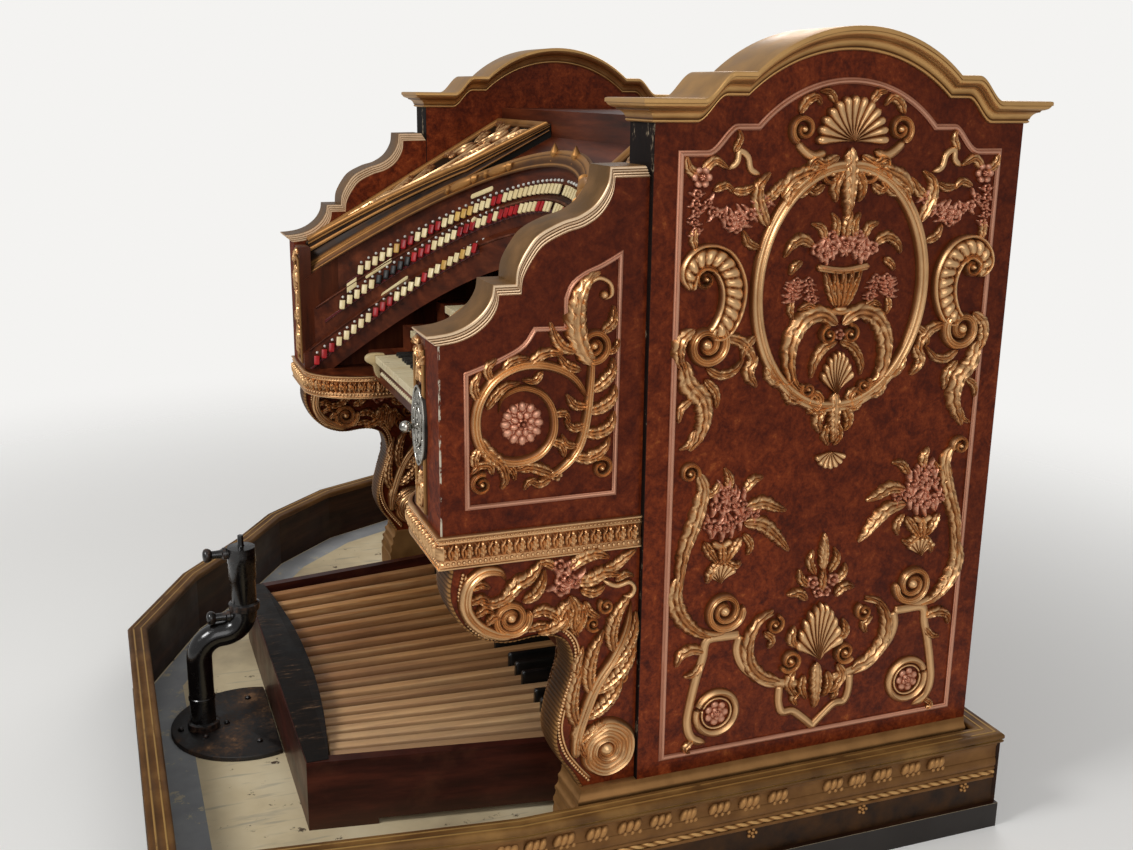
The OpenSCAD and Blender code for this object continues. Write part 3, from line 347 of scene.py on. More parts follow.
def draw_rail(tree):
    streak = grain(tree, 30, (0.3, 0.3, 2), detail=6, rough=0.65)
    rub = grain(tree, 45, detail=5)
    tone = ramp(tree, streak, [(0.3, "#3c2611"), (0.5, "#5c3c1b"), (0.72, "#7d592d")])
    wear_and_shade_level = add(tree, "ShaderNodeAttribute", attribute_name="wear_and_shade").outputs["Fac"]
    chipped = add(tree, "ShaderNodeMath", {0: wear_and_shade_level, 1: shift(tree, rub, 0.3, 0.4)},
                  operation="MULTIPLY").outputs[0]
    across = add(tree, "ShaderNodeSeparateXYZ", {0: add(tree,
                                                        "ShaderNodeTexCoord").outputs["Object"]}).outputs["X"]
    near = shift(tree, across, (middle_x + 895) / 1000, (middle_x + 915) / 1000)
    bronze = ramp(tree, rub, [(0.3, "#5a3d1f"), (0.5, "#6e4d27"), (0.7, "#876335")])
    gilt = blend_colours(tree, chipped, blend_colours(tree, near, tone, bronze), "#b08a50")
    return add(tree, "ShaderNodeBsdfPrincipled", {
        "Base Color": gilt, "Metallic": shift(tree, chipped, 0, 1, 0, 0.7), "Specular IOR Level": 0.15,
        "Roughness": shift(tree, rub, 0.3, 0.7, 0.45, 0.6), "Normal": dent(tree, streak, 0.25)}).outputs[0]


piece("kerb_cap", [skin(rail_rings[::-1], gilt_line[None, :] * 1.0, looped=True)],
      coat("gilt_lined_brown_rail", draw_rail), "kerb_wood", "kerb_rail", sharp=50)

margin_rings = np.stack([np.column_stack([mitred(platform_edge, d), np.full(len(platform_edge), h)])
                         for d, h in ((49, 0.2), (49, 0.9), (128, 0.9), (129, 0.2))], axis=1)


def draw_margin(tree):
    """Blue-grey floor paint over the cream, chipped through to it and clouded with dust."""
    cloud = grain(tree, 90, detail=5)
    chips = grain(tree, 22, detail=6, rough=0.72)
    tone = ramp(tree, cloud, [(0.3, "#7b7e80"), (0.55, "#969899"), (0.75, "#aeaeab")])
    wear_and_shade = blend_colours(tree, shift(tree, chips, 0.58, 0.63), tone, "#b9ad92")
    return add(tree, "ShaderNodeBsdfPrincipled", {
        "Base Color": wear_and_shade, "Roughness": shift(tree, cloud, 0.3, 0.7, 0.5,
                                               0.7), "Normal": dent(tree, chips, 0.3)}).outputs[0]


piece("deck_margin", [skin(margin_rings[::-1], 1.0, looped=True)],
      coat("blue_grey_floor_paint", draw_margin), "deck_paint")


# Deck edge: the deck stands out 12 mm past the boards, and that ledge was painted dark with them.
# A strip half a millimetre thick is carried round the platform's outline.
ledge_rings = np.stack([np.column_stack([mitred(platform_edge, d), np.full(len(platform_edge), h)])
                        for d, h in ((0.3, -0.4), (0.3, 0.5), (12.4, 0.5), (12.4, -0.4))], axis=1)
piece("deck_edge_paint", [skin(ledge_rings[::-1], 1.0, looped=True)], kerb_stain, "kerb_wood")


# Right side of the platform: a carved board under rubbed bronze-gold paint. A row of leaning lobes in groups stands
# over a twisted rope, some groups broken away, with the ground between painted dark, as glaze and as painted shade.
def face(side, x):
    """Maps a carving's own (along, up, out) to a side wall at x: along is depth and up is height.
    On the left the wall is mirrored, which is told by the sign for turning the faces."""
    def place(points):
        return np.column_stack([side * (x + points[:, 2]), points[:, 0], points[:, 1]])
    return place, side


def front(y, side=1):
    """Maps a carving's (along, up, out) to a wall that faces the organist, mirrored for the left."""
    def place(points):
        return np.column_stack([side * points[:, 0], y - points[:, 2], points[:, 1]])
    return place, side


def set_on(parts, wall):
    """Parts laid on a wall by its map."""
    place, side = wall
    return [(place(p), q, w) for p, q, w in parts]


def domes(centres, length, width, height, lean=0.0, sides=8, wear_and_shade=1.0):
    """Half-eggs on a flat ground: rings of an ellipse shrink as a quarter circle rises. Each is
    turned by lean degrees, and all share one small mesh moved to their centres."""
    centres = np.asarray(centres, float)
    rise = np.radians([0, 30, 60, 90])
    around = np.linspace(0, 2 * np.pi, sides, endpoint=False)
    reach, up_ = np.cos(rise)[:, None], np.sin(rise)[:, None]
    a, b = reach * np.cos(around) * length / 2, reach * np.sin(around) * width / 2
    lean_ = np.radians(lean)
    rings = np.stack([a * np.cos(lean_) - b * np.sin(lean_), a * np.sin(lean_) + b * np.cos(lean_),
                      np.broadcast_to(up_ * height, a.shape)], axis=-1)
    rings[0, :, 2] = -2
    # Each dome's value rises from its foot to its top: painted shade at the foot and painted highlight at the top.
    points, quads, shade = skin(rings, np.broadcast_to(0.15 + 0.85 * up_ * wear_and_shade, a.shape))
    n = len(points)
    every = points[None] + np.column_stack([centres, np.zeros(len(centres))])[:, None]
    all_quads = (quads[None] + n * np.arange(len(centres))[:, None, None]).reshape(-1, 4)
    return every.reshape(-1, 3), all_quads, np.tile(shade, len(centres))


def frame_along(path):
    """Unit steps along a flat path and the directions to its left."""
    step = np.gradient(path, axis=0)
    step /= np.maximum(np.linalg.norm(step, axis=1), 1e-9)[:, None]
    return step, np.column_stack([-step[:, 1], step[:, 0]])


def spine(points, count=30):
    """A smooth curve through the points: each span is the cubic whose slopes are half the span
    between its neighbours, and the whole is then cut at even lengths."""
    p = np.asarray(points, float)
    if len(p) == 2:
        return p[0] + (p[1] - p[0]) * np.linspace(0, 1, count)[:, None]
    q = np.concatenate([2 * p[:1] - p[1:2], p, 2 * p[-1:] - p[-2:-1]])
    t = np.linspace(0, 1, 12, endpoint=False)[None, :, None]
    a, b, c, d = q[:-3, None], q[1:-2, None], q[2:-1, None], q[3:, None]
    spans = (2 * b + (c - a) * t + (2 * a - 5 * b + 4 * c - d) * t ** 2 + (3 * b - a - 3 * c + d) * t ** 3) / 2
    fine = np.concatenate([spans.reshape(-1, p.shape[1]), p[-1:]])
    run = np.concatenate([[0], np.cumsum(np.linalg.norm(np.diff(fine, axis=0), axis=1))])
    at = np.linspace(0, run[-1], count)
    return np.column_stack([np.interp(at, run, fine[:, k]) for k in range(p.shape[1])])


def strand(path, radius, pitch, strands=2, sides=14, squash=1.0):
    """A twisted rope along a flat path: the radius swells strands times round, and the swell turns
    once for each pitch of length."""
    step, left = frame_along(path)
    run = np.concatenate([[0], np.cumsum(np.linalg.norm(np.diff(path, axis=0), axis=1))])
    around = np.linspace(0, 2 * np.pi, sides, endpoint=False)[None, :]
    twist = np.abs(np.cos((around * strands - 2 * np.pi * run[:, None] / pitch) / 2))
    r = radius * (0.72 + 0.28 * twist)
    flat = path[:, None] + left[:, None] * (r * np.cos(around))[..., None]
    # Low values between the strands: painted shade in the rope's grooves.
    return skin(np.concatenate([flat, (r * np.sin(around) * squash)[..., None]], axis=-1), 0.1 + 0.9 * twist)


fascia_low, fascia_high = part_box("right_fascia")
fascia_top = fascia_high.z * 1000 - deck_top
edge_a, edge_b = mitred(platform_edge, 12)[9:11]
slant_a, edge_c = mitred(platform_edge, 6)[9], mitred(platform_edge, 6)[8]


def fascia_place(points):
    """Along the side board, then round its corner and along the slanting board next to it: a place
    before the corner lies on the line to the front corner, and out stands square to that line, at
    half its height."""
    y, up, out = points.T
    slant = y < edge_a[1]
    share = np.where(slant, (edge_a[1] - y) / (edge_a[1] - edge_c[1]), 0.0)
    run = slant_a - edge_c
    square = np.array([run[1], -run[0]]) / np.linalg.norm(run) / 2
    return np.column_stack([np.where(slant, slant_a[0] - run[0] * share,
                                     edge_a[0]) + out * np.where(slant, square[0], 1.0),
                            y + out * np.where(slant, square[1], 0.0), up])


on_fascia = (fascia_place, 1)
lobe_groups = [(-260, -215), (-190, -145), (-120, -75), (-45, -5), (14, 56), (75, 115), (145, 187),
               (213, 262),
               (285, 330), (355, 385), (420, 465), (490, 535), (560, 603), (695, 740), (760, 797), (820, 865),
               (895, 940), (965, 1003)]
lobe_places = np.array([(a + (b - a) * (k + 0.5) / 3, 0) for a, b in lobe_groups for k in range(3)])
lobe_places[:, 1] = fascia_top - 20
board_run = np.array([(y, 0) for y in np.linspace(edge_c[1] + 6, edge_b[1] - 2, 640)])


def level_bar(y0, y1, profile, base=3.0):
    """A moulding run level along a wall: its profile of (up, out) points is closed behind the wall."""
    profile = np.asarray(profile, float)
    loop = np.concatenate([profile, [(profile[-1, 0], -base), (profile[0, 0], -base)]])
    ends = np.array([y0, *[y for y in (edge_a[1] - 0.5, edge_a[1] + 0.5) if y0 < y < y1], y1])
    rings = np.stack([np.broadcast_to(ends[:, None], (len(ends), len(loop))),
                      np.broadcast_to(loop[:, 0], (len(ends), len(loop))),
                      np.broadcast_to(loop[:, 1], (len(ends), len(loop)))], axis=-1)
    return skin(rings, 0.45)


def draw_gold(low, mid, high, metal=0.85, soft=0.36):
    """Aged metal leaf: the hollows told by the per-point attribute stay dark with glaze and with painted shade, and
    the ridges are light where rubbed and as painted highlight, with a 30 mm cloud of tone and 2 mm pits."""
    def draw(tree):
        wear_and_shade_level = add(tree, "ShaderNodeAttribute", attribute_name="wear_and_shade").outputs["Fac"]
        cloud = grain(tree, 30, detail=5)
        pits = grain(tree, 3, detail=3, rough=0.6)
        mixed = add(tree, "ShaderNodeMath", {0: cloud, 1: 0.5, 2: wear_and_shade_level}, operation="MULTIPLY_ADD").outputs[0]
        # The per-point value darkens the hollows as painted shade and glaze, and lightens the ridges as painted
        # highlight and rubbing.
        tone = ramp(tree, shift(tree, mixed, 0.2, 1.45), [(0.0, low), (0.32, mid), (0.72, high), (1.0, high)])
        leafy = shift(tree, mixed, 0.25, 0.75, 0.2, metal)
        return add(tree, "ShaderNodeBsdfPrincipled", {
            "Base Color": tone, "Metallic": leafy, "Specular IOR Level": 0.2,
            "Roughness": shift(tree, cloud, 0.3, 0.7, soft, soft + 0.16),
            "Normal": dent(tree, pits, 0.35, 0.7)}).outputs[0]
    return draw


olive_gold = coat("worn_bronze_gold_paint", draw_gold("#1a0f08", "#654222", "#b38450", 0.65, 0.42))
leaf_gold = coat("aged_gold_leaf", draw_gold("#1b0f06", "#86592d", "#d4a66a", 0.85, 0.32))
fascia_line = [(-4, 0), (-4, 2), (-2, 4), (0, 4.6), (2, 4), (4, 2), (4, 0)]
lobes = domes(lobe_places + [0, -2], 33, 19, 11.4, lean=62, sides=12)
stems = domes(lobe_places + [8, -19], 14, 11, 6, lean=50, sides=8)
rope = strand(board_run + [0, fascia_top - 76], 6.4, 27, squash=0.9)
beads_ = domes([(y + 9 * math.cos(a), fascia_top - 101 + 9 * math.sin(a)) for y in (-565, -290, -15, 258,
                                                                                    525, 800, 1070)
                for a in np.arange(0, 6.2, 1.2566)] + [(y,
                                                        fascia_top - 101) for y in (-565, -290, -15, 258,
                                                                                    525, 800, 1070)], 10,
                                                                                    10, 5)
fillets = [level_bar(edge_c[1] + 5, edge_b[1] - 1, [(fascia_top + a + h, o) for h, o in fascia_line])
           for a in (-5, -66, -87)]
fillets += [level_bar(edge_c[1] + 5, edge_b[1] - 1, [(fascia_top + a, o) for a, o in
            ((-62, 0), (-61, 2.6), (-57, 4.6), (-52, 5.6), (-46, 5.2), (-41, 3.6), (-38, 1.6), (-37, 0))])]
fillets.append(level_bar(edge_c[1] + 5, edge_b[1] - 1, [(fascia_top + a, o) for a, o in
               ((-37, 0), (-36, 3.5), (-31, 2.2), (-24, 1.4), (-16, 1.4), (-10, 2.4), (-6, 4), (-5.5, 0))]))
carved_side = set_on([lobes, stems, beads_] + fillets, on_fascia)
corner_in = [mitred(platform_edge, 50 - 6)[k] for k in (9, 10)]
corner_out = [mitred(platform_edge, 12)[k] for k in (9, 10)]
board_rings = np.array([[(*corner_out[k], 0), (*corner_out[k], fascia_top),
                         (*corner_in[k], fascia_top), (*corner_in[k], 0)] for k in (0, 1)])
slant_face = np.array([[(*mitred(platform_edge, d)[k], h) for d,
                        h in ((5.6, 1), (5.6, fascia_top - 1), (8, fascia_top - 1), (8, 1))]
                       for k in (8, 9)])
# The board's own faces get the lowest value, so the ground between the lobes is painted dark: glaze and painted
# shade.
piece("side_carving", carved_side + [skin(board_rings[::-1], 0.05), skin(slant_face[::-1], 0.05)],
      olive_gold, "olive_gold", "right_fascia")
piece("side_rope", set_on([rope], on_fascia), leaf_gold, "old_gold")


# Plinths: stepped mouldings of bronze-gold painted wood under each tower and its scroll leg.
# One profile of (out, up) shares is carried round three sides of the foot and closed inside.
def moulded_block(box_low, box_high, profile, side):
    """A block whose three outer sides follow a profile of (out share, up share): each height's
    ring is the block's plan grown by the profile's overhang, from the inner wall round the front."""
    profile = np.asarray(profile, float)
    x0, y0, z0 = box_low
    x1, y1, z1 = box_high
    rings = []
    for out, share in profile:
        z = z0 + (z1 - z0) * share
        rings.append([(x0, y1, z), (x0, y0 - out, z), (x1 + out, y0 - out, z), (x1 + out, y1, z)])
    points, quads, wear_and_shade = skin(np.array(rings)[:, ::-1], 0.7)
    points = points * [side, 1, 1]
    return points, quads, wear_and_shade


plinth_profile = [
    (20, 0), (20, 0.5), (18, 0.53), (18, 0.56), (20, 0.58), (20, 0.62), (16, 0.65), (14.5, 0.69), (14.5,
                                                                                                   0.71),
    (16.5, 0.72), (16.5, 0.75), (13.5, 0.765), (10, 0.785), (8.5, 0.82), (8.5, 0.85), (9.5, 0.86), (9.5,
                                                                                                    0.885),
    (7, 0.9), (3.5, 0.92), (1.5, 0.96), (1.5, 1)]
for side, name in ((1, "right_plinth"), (-1, "left_plinth")):
    low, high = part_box(name)
    inner = 770
    y0 = low.y * 1000 - front_y + 20
    y1 = high.y * 1000 - front_y
    top = high.z * 1000 - deck_top
    block = moulded_block((inner, y0, 0), (880, y1, top), plinth_profile, side)
    piece(name + "_moulding", [block], olive_gold, "olive_gold", name, sharp=50)


# Towers: mahogany carcasses veneered with burl on their broad sides and French polished. The
# CAD walls stay; the figure is a 40 mm mottle broken by finer dark knots under a gloss coat.
def draw_burl(edge, painted):
    """Polished burl, whose faces in front of the edge depth are painted black and chipped pale."""
    return lambda tree: burl_nodes(tree, edge, painted)


def burl_nodes(tree, edge, painted):
    place = add(tree, "ShaderNodeSeparateXYZ", {0: add(tree, "ShaderNodeTexCoord").outputs["Object"]})
    depth = place.outputs["Y"]
    cloud = grain(tree, 260, (1, 1, 0.6), detail=3, distortion=0.4)
    mottle = grain(tree, 22, detail=6, rough=0.74, distortion=0.5)
    fleck = grain(tree, 5, detail=4, rough=0.7)
    both = add(tree, "ShaderNodeMath", {0: fleck, 1: 0.55, 2: mottle}, operation="MULTIPLY_ADD").outputs[0]
    tone = ramp(tree, shift(tree, both, 0.52, 1.02), [
        (0.0, "#37140b"), (0.3, "#551e0b"), (0.55, "#6e2b10"), (0.8, "#833817"), (1.0, "#a05426")])
    deep = blend_colours(tree, shift(tree, cloud, 0.35, 0.62, 0.55, 0.0), tone, "#3f1406")
    chips = grain(tree, 16, (1, 1, 0.5), detail=7, rough=0.75)
    black = ramp(tree, chips, [(0.3, "#0d0908"), (0.6, "#1a100c"), (0.66, "#8d7d66"), (0.8, "#c9bda4")])
    rim = (front_y + edge) / 1000
    if painted:
        deep = blend_colours(tree, shift(tree, depth, rim + 0.0012, rim + 0.0018), black, deep)
    else:
        side = add(tree, "ShaderNodeMath", {0: place.outputs["X"], 1: middle_x / 1000},
                   operation="SUBTRACT").outputs[0]
        side = add(tree, "ShaderNodeMath", {0: side}, operation="ABSOLUTE").outputs[0]
        corner = add(tree, "ShaderNodeMath", {0: shift(tree, side, 0.8622, 0.8632),
                                              1: shift(tree, depth, rim + 0.0034, rim + 0.0024)},
                     operation="MULTIPLY").outputs[0]
        chipped = add(tree, "ShaderNodeMath", {0: corner, 1: shift(tree, chips, 0.5, 0.54)},
                      operation="MULTIPLY").outputs[0]
        deep = blend_colours(tree, chipped, deep, "#cdc2ab")
    return add(tree, "ShaderNodeBsdfPrincipled", {
        "Base Color": deep, "Roughness": add(tree, "ShaderNodeMath", {
            0: shift(tree, mottle, 0.3, 0.7, 0.3, 0.4), 1: shift(tree, depth, rim + 0.0012, rim + 0.0018,
                                                                 0.8, 0.0)}, operation="MAXIMUM").outputs[0],
        "Specular IOR Level": 0.12,
        "Coat Weight": 0.05, "Coat Roughness": 0.1, "Normal": dent(tree, fleck, 0.06)}).outputs[0]


dress(coat("polished_burl_towers", draw_burl(278, True)), "right_tower", "left_tower")
dress(coat("polished_burl_cheeks", draw_burl(-128, False)), "right_leg", "left_leg", "right_cheek",
      "left_cheek")


# Cornices: carved pine under thick gold leaf, bent over the arch of each tower and returned at
# both ends. The tower's own edge line is lifted through a profile of bead, cove, ovolo and fillet.
tower_low, tower_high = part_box("right_tower")
tower_y = np.array([tower_low.y, tower_high.y]) * 1000 - front_y
tower_x = np.array([tower_low.x, tower_high.x]) * 1000 - middle_x


def crest(margin):
    """Upper edge of a tower from front to back, drawn in by a margin: flat shoulder, S-shaped rise,
    flat step, then an arc of a circle, and the same mirrored."""
    y0, y1 = tower_y[0] + margin, tower_y[1] - margin
    z0 = 1523 - margin
    a = tower_y[0] + 83 + margin / 2
    t = np.linspace(0, 1, 13)
    rise = np.column_stack([a + 61 * t, z0 + 48 * t * t * (3 - 2 * t)])
    c, mid = a + 61 + 43, (y0 + y1) / 2
    half = mid - c
    r = (half * half + 86 * 86) / (2 * 86)
    bow = np.radians(np.linspace(-1, 1, 41) * math.degrees(math.asin(half / r)))
    arc = np.column_stack([mid + r * np.sin(bow), z0 + 48 + 86 - r + r * np.cos(bow)])
    first = np.concatenate([[(y0, z0)], rise])
    last = first[::-1] * [-1, 1] + [2 * mid, 0]
    return np.concatenate([first, arc, last])


def capping(edge, profile, lift, x0, x1, ends, wear_and_shade=None):
    """A moulding along an edge drawn in depth and height. Each profile point is an overhang past
    both walls and a height along the lift; the ends are pushed out by the overhang, and closed
    across from wall to wall."""
    edge, profile = np.asarray(edge, float), np.asarray(profile, float)
    out, high = profile[:, 0], profile[:, 1]
    y = edge[:, None, 0] + lift[0] * high
    z = edge[:, None, 1] + lift[1] * high
    y[0] -= out * ends[0]
    y[-1] += out * ends[1]
    outer = np.stack([np.broadcast_to(x1 + out, y.shape), y, z], axis=-1)
    inner = np.stack([np.broadcast_to(x0 - out * ends[2], y.shape), y, z], axis=-1)
    rings = np.concatenate([outer, inner[:, ::-1]], axis=1)
    shade = np.ones(len(profile)) if wear_and_shade is None else np.asarray(wear_and_shade, float)
    shade = np.broadcast_to(np.concatenate([shade, shade[::-1]]), rings.shape[:2])
    points, quads, tones = skin(rings, shade, capped=False)
    m, n, size = len(profile), len(edge), 2 * len(profile)
    k = np.arange(m - 1)
    start = np.column_stack([k, k + 1, size - 2 - k, size - 1 - k])
    far = (n - 1) * size + start[:, ::-1]
    return points, np.concatenate([quads, start, far]), tones


cornice_profile = np.array([
    (2, 0), (4, 0.4), (6.5, 1.6), (7.6, 3.4), (7.2, 5.2), (5.6,
                                                           6.4), (5.6,
                                                                  7.6), (7.4, 8), (8, 10.5), (9.5,
                                                                                              14), (12, 17.5),
    (15.5, 20.3), (19, 21.8), (21, 22), (21.6, 24), (23, 25.6), (27,
                                                                 26.6), (31, 28.4), (34, 31), (35.6,
                                                                                               34), (35.8,
                                                                                                     35),
    (38, 35.4), (38, 41.5), (36.8, 43), (33, 44)])
# One value per profile point: low in the coves and fillets, where glaze and painted shade darken the leaf, and high
# on the beads and ovolo.
cornice_wear_and_shade = [0.5, 0.7, 1, 1, 0.7, 0.2, 0.15, 0.3, 0.6, 0.8, 0.85, 0.9, 0.8, 0.3, 0.2, 0.6, 0.9, 1, 1,
                0.8, 0.3, 1, 1, 1, 0.7]
for side, name in ((1, "right_cornice"), (-1, "left_cornice")):
    points, quads, wear_and_shade = capping(crest(0), cornice_profile, (0, 1), tower_x[0], tower_x[1], (1, 1, 1),
                                  cornice_wear_and_shade)
    made = (points * [side, 1, 1], quads, wear_and_shade)
    piece(name + "_moulding", [made], leaf_gold, "old_gold", name, sharp=40)


# Tower frames: a raised bead of rose-gold leaf mitred round each broad panel. A small moulding is
# carried round the panel's outline, which follows the crest above.
def around(outline, profile, closed_back=2.0):
    """A moulding round a closed flat outline: each profile point is a distance inwards and a rise."""
    profile = np.asarray(profile, float)
    rings = np.stack([np.column_stack([mitred(outline, d), np.full(len(outline), h)]) for d, h in profile],
                     axis=1)
    tail = np.stack([np.column_stack([mitred(outline, d), np.full(len(outline), -closed_back)])
                     for d in (profile[-1, 0], profile[0, 0])], axis=1)
    loops = np.concatenate([rings, tail], axis=1)
    # Low values at the foot of the moulding and behind it: painted shade there.
    tone = np.concatenate([0.3 + 0.7 * np.clip(profile[:, 1] / profile[:, 1].max(), 0, 1), [0, 0]])
    return skin(loops, np.broadcast_to(tone, loops.shape[:2]), looped=True)


tower_side_x = tower_x[1]
frame_foot = 228
outer_line = crest(49)
panel_line = np.concatenate([[(outer_line[0, 0], frame_foot)], outer_line,
                             [(outer_line[-1, 0], frame_foot)]])[::-1]
bead_profile = [(0, 0), (0, 2), (2, 3.6), (3.4, 3.6), (4.2, 5.6), (6.2, 7.6), (8.4, 7.4), (10, 5.6),
                (10.6, 3.4), (12, 2.6), (12, 0)]


# Tower ornament: carved limewood or cast composition, glued on and leafed in rose and yellow gold, with dark glaze
# and painted shade in the hollows. Each leaf, scroll and flower is a closed shell on the panel.
def bar(points, half, height, count=34, across=9, flutes=0, ends=(0.12, 0.12), twist=0.0):
    """A carved scroll: a rounded section carried along a curve. Its half width runs through the
    given values and shrinks to nothing at the ends; flutes press grooves along it."""
    path = spine(points, count)
    step, left = frame_along(path)
    t = np.linspace(0, 1, count)
    half = np.interp(t, np.linspace(0, 1, len(np.atleast_1d(half))), np.atleast_1d(half))
    swell = np.clip(np.minimum(t / max(ends[0], 1e-6), (1 - t) / max(ends[1], 1e-6)), 0, 1) ** 0.55
    half = half * np.maximum(swell, 0.02)
    s = np.linspace(-1, 1, across)
    dome = np.sqrt(np.clip(1 - s ** 2, 0, 1)) ** 0.8
    groove = 1 - 0.3 * (0.5 - 0.5 * np.cos(np.pi * s * (flutes + 1))) if flutes else np.ones(across)
    if flutes:
        groove = 0.74 + 0.26 * np.cos(np.pi * s * flutes) ** 2
    top = height * (0.35 + 0.65 * swell[:, None]) * dome * groove * (half[:, None] / max(half.max(),
                                                                                         1e-6)) ** 0.35
    flat = path[:, None] + left[:, None] * (half[:, None] * s)[..., None]
    crown = np.concatenate([flat, top[..., None]], axis=-1)
    under = np.concatenate([flat[:, [-1, 0]], np.full((count, 2, 1), -2.0)], axis=-1)
    shade = np.clip(0.12 + 0.88 * top / height, 0, 1) * (0.45 + 0.55 * groove)
    shade = np.concatenate([shade, np.zeros((count, 2))], axis=1)
    return skin(np.concatenate([crown, under], axis=1), shade)


def leaf(points, width, height, lobes=5, count=36, across=9, curl=0.35, fat=1.34):
    """An acanthus leaf along a curve: its edge swells into lobes swept towards the tip, a groove
    runs down the middle, a furrow parts each pair of lobes, and the tip lifts and curls."""
    count, height = max(count, lobes * 6), height * 1.2
    root = np.asarray(points[0], float)
    path = spine(root + (np.asarray(points, float) - root) * 1.1, count)
    step, left = frame_along(path)
    t = np.linspace(0, 1, count)
    length = np.linalg.norm(np.diff(path, axis=0), axis=1).sum()
    width = max(width * fat, min(0.16 * length, width * 1.55))
    body = np.sin(np.pi * (0.07 + 0.9 * t ** 0.8)) ** 0.6 * (1 - 0.38 * t)
    tooth = (lobes * t) % 1
    half = width * body * (0.6 + 0.4 * tooth ** 0.5 * (1 - tooth ** 7)) + 0.05
    s = np.linspace(-1, 1, across)
    sweep = 0.5 * width * body[:, None] * np.abs(s) ** 1.5
    flat = path[:, None] + left[:, None] * (half[:, None] * s)[..., None] + step[:, None] * sweep[..., None]
    dome = np.sqrt(np.clip(1 - (np.abs(s) ** 2.2), 0, 1))
    midrib = 1 + 0.1 * np.exp(-(s / 0.1) ** 2) - 0.34 * np.exp(-((np.abs(s) - 0.25) / 0.12) ** 2)
    cut = 1 - np.abs(np.sin(np.pi * (lobes * t[:, None] - 0.8 * np.abs(s)))) ** 0.5
    furrow = 1 - 0.62 * cut * np.clip(np.abs(s) * 1.6 - 0.2, 0, 1)
    rise = height * (0.45 + 0.55 * np.sin(np.pi * np.clip(t, 0, 1)) ** 0.5 + curl * t ** 4)
    top = rise[:, None] * dome * midrib * furrow * np.minimum(1, body[:, None] * 2.5)
    crown = np.concatenate([flat, top[..., None]], axis=-1)
    under = np.concatenate([flat[:, [-1, 0]], np.full((count, 2, 1), -2.0)], axis=-1)
    shade = np.clip((furrow * midrib - 0.4) * 1.7, 0, 1) * (0.3 + 0.7 * dome)
    shade = np.concatenate([shade, np.zeros((count, 2))], axis=1)
    return skin(np.concatenate([crown, under], axis=1), shade)


def volute(centre, radius, start, turns=1.6, hand=1, height=12, thick=0.3):
    """A spiral scroll: the radius shrinks evenly with the angle from its start to a boss in the
    middle, and its half width shrinks with it."""
    angle = np.radians(start) + hand * np.linspace(0, 2 * np.pi * turns, 20)
    r = radius * np.linspace(1, 0.2, 20)
    thick = max(thick, 0.44 / turns)
    path = np.column_stack([centre[0] + r * np.cos(angle), centre[1] + r * np.sin(angle)])
    coil = bar(path, [radius * thick, radius * thick * 0.62], height, count=int(26 * turns), across=9,
               flutes=2, ends=(0.03, 0.08))
    return [coil, blossom(centre, radius * 0.3, height * 1.15, petals=0)]


def ribbed(points, half, height, ribs, count=None, ends=(0.1, 0.1)):
    """A fat scroll with a gadrooned body between two smooth rims: lobes swell across it, one for
    each rib, and the rims are thin bars along both its edges."""
    count = count or ribs * 6
    path = spine(points, count)
    step, left = frame_along(path)
    t = np.linspace(0, 1, count)
    width = np.interp(t, np.linspace(0, 1, len(half)), half)
    swell = np.maximum(np.clip(np.minimum(t / ends[0], (1 - t) / ends[1]), 0, 1) ** 0.5, 0.05)
    width = width * swell
    s = np.linspace(-1, 1, 9)
    lobe = np.abs(np.sin(np.pi * ribs * t[:, None] - 0.9 * s)) ** 0.6
    dome = np.sqrt(np.clip(1 - s ** 2, 0, 1)) ** 0.7
    top = height * swell[:, None] * dome * (0.58 + 0.42 * lobe)
    flat = path[:, None] + left[:, None] * (width[:, None] * 0.78 * s)[..., None]
    crown = np.concatenate([flat, top[..., None]], axis=-1)
    under = np.concatenate([flat[:, [-1, 0]], np.full((count, 2, 1), -2.0)], axis=-1)
    shade = np.concatenate([np.broadcast_to(0.1 + 0.9 * lobe * dome, top.shape), np.zeros((count, 2))],
                           axis=1)
    rims = [bar((path + left * side_ * (width * 0.9)[:, None])[::2], 4.5, height * 0.8, count // 2 + 10, 5,
                0, (0.04, 0.04)) for side_ in (-1, 1)]
    return [skin(np.concatenate([crown, under], axis=1), shade)] + rims


def blossom(centre, radius, height, petals=5, turn_=0.0, layers=1):
    """A flower or a boss: rings round the middle, whose edge is drawn in between petals; each
    petal is cupped, and a button stands in the middle."""
    share = np.array([0.12, 0.24, 0.34, 0.52, 0.75, 0.93, 1.0, 0.96])
    sides = max(12, petals * 6)
    around_ = np.linspace(0, 2 * np.pi, sides, endpoint=False)
    lobe = np.abs(np.cos(petals * (around_ + turn_) / 2)) if petals else np.ones(sides)
    reach = radius * share[:, None] * (1 - (0.24 * (1 - lobe ** 0.6)) * share[:, None])
    cup = np.array([1.0, 0.86, 0.42, 0.62, 0.8, 0.66, 0.2, -0.2])
    if not petals:
        cup = np.array([1.0, 0.97, 0.92, 0.8, 0.58, 0.3, 0.0, -0.2])
    rise = height * cup[:, None] * (0.72 + 0.28 * lobe)
    rings = np.stack([centre[0] + reach * np.cos(around_), centre[1] + reach * np.sin(around_), rise],
                     axis=-1)
    shade = np.array([1, 0.7, 0.12, 0.6, 0.95, 0.9, 0.4, 0])[:, None] * (0.35 + 0.65 * lobe)
    if not petals:
        shade = np.array([1, 1, 0.95, 0.9, 0.7, 0.4, 0.1, 0])[:, None] * np.ones(sides)
    return skin(rings, shade)


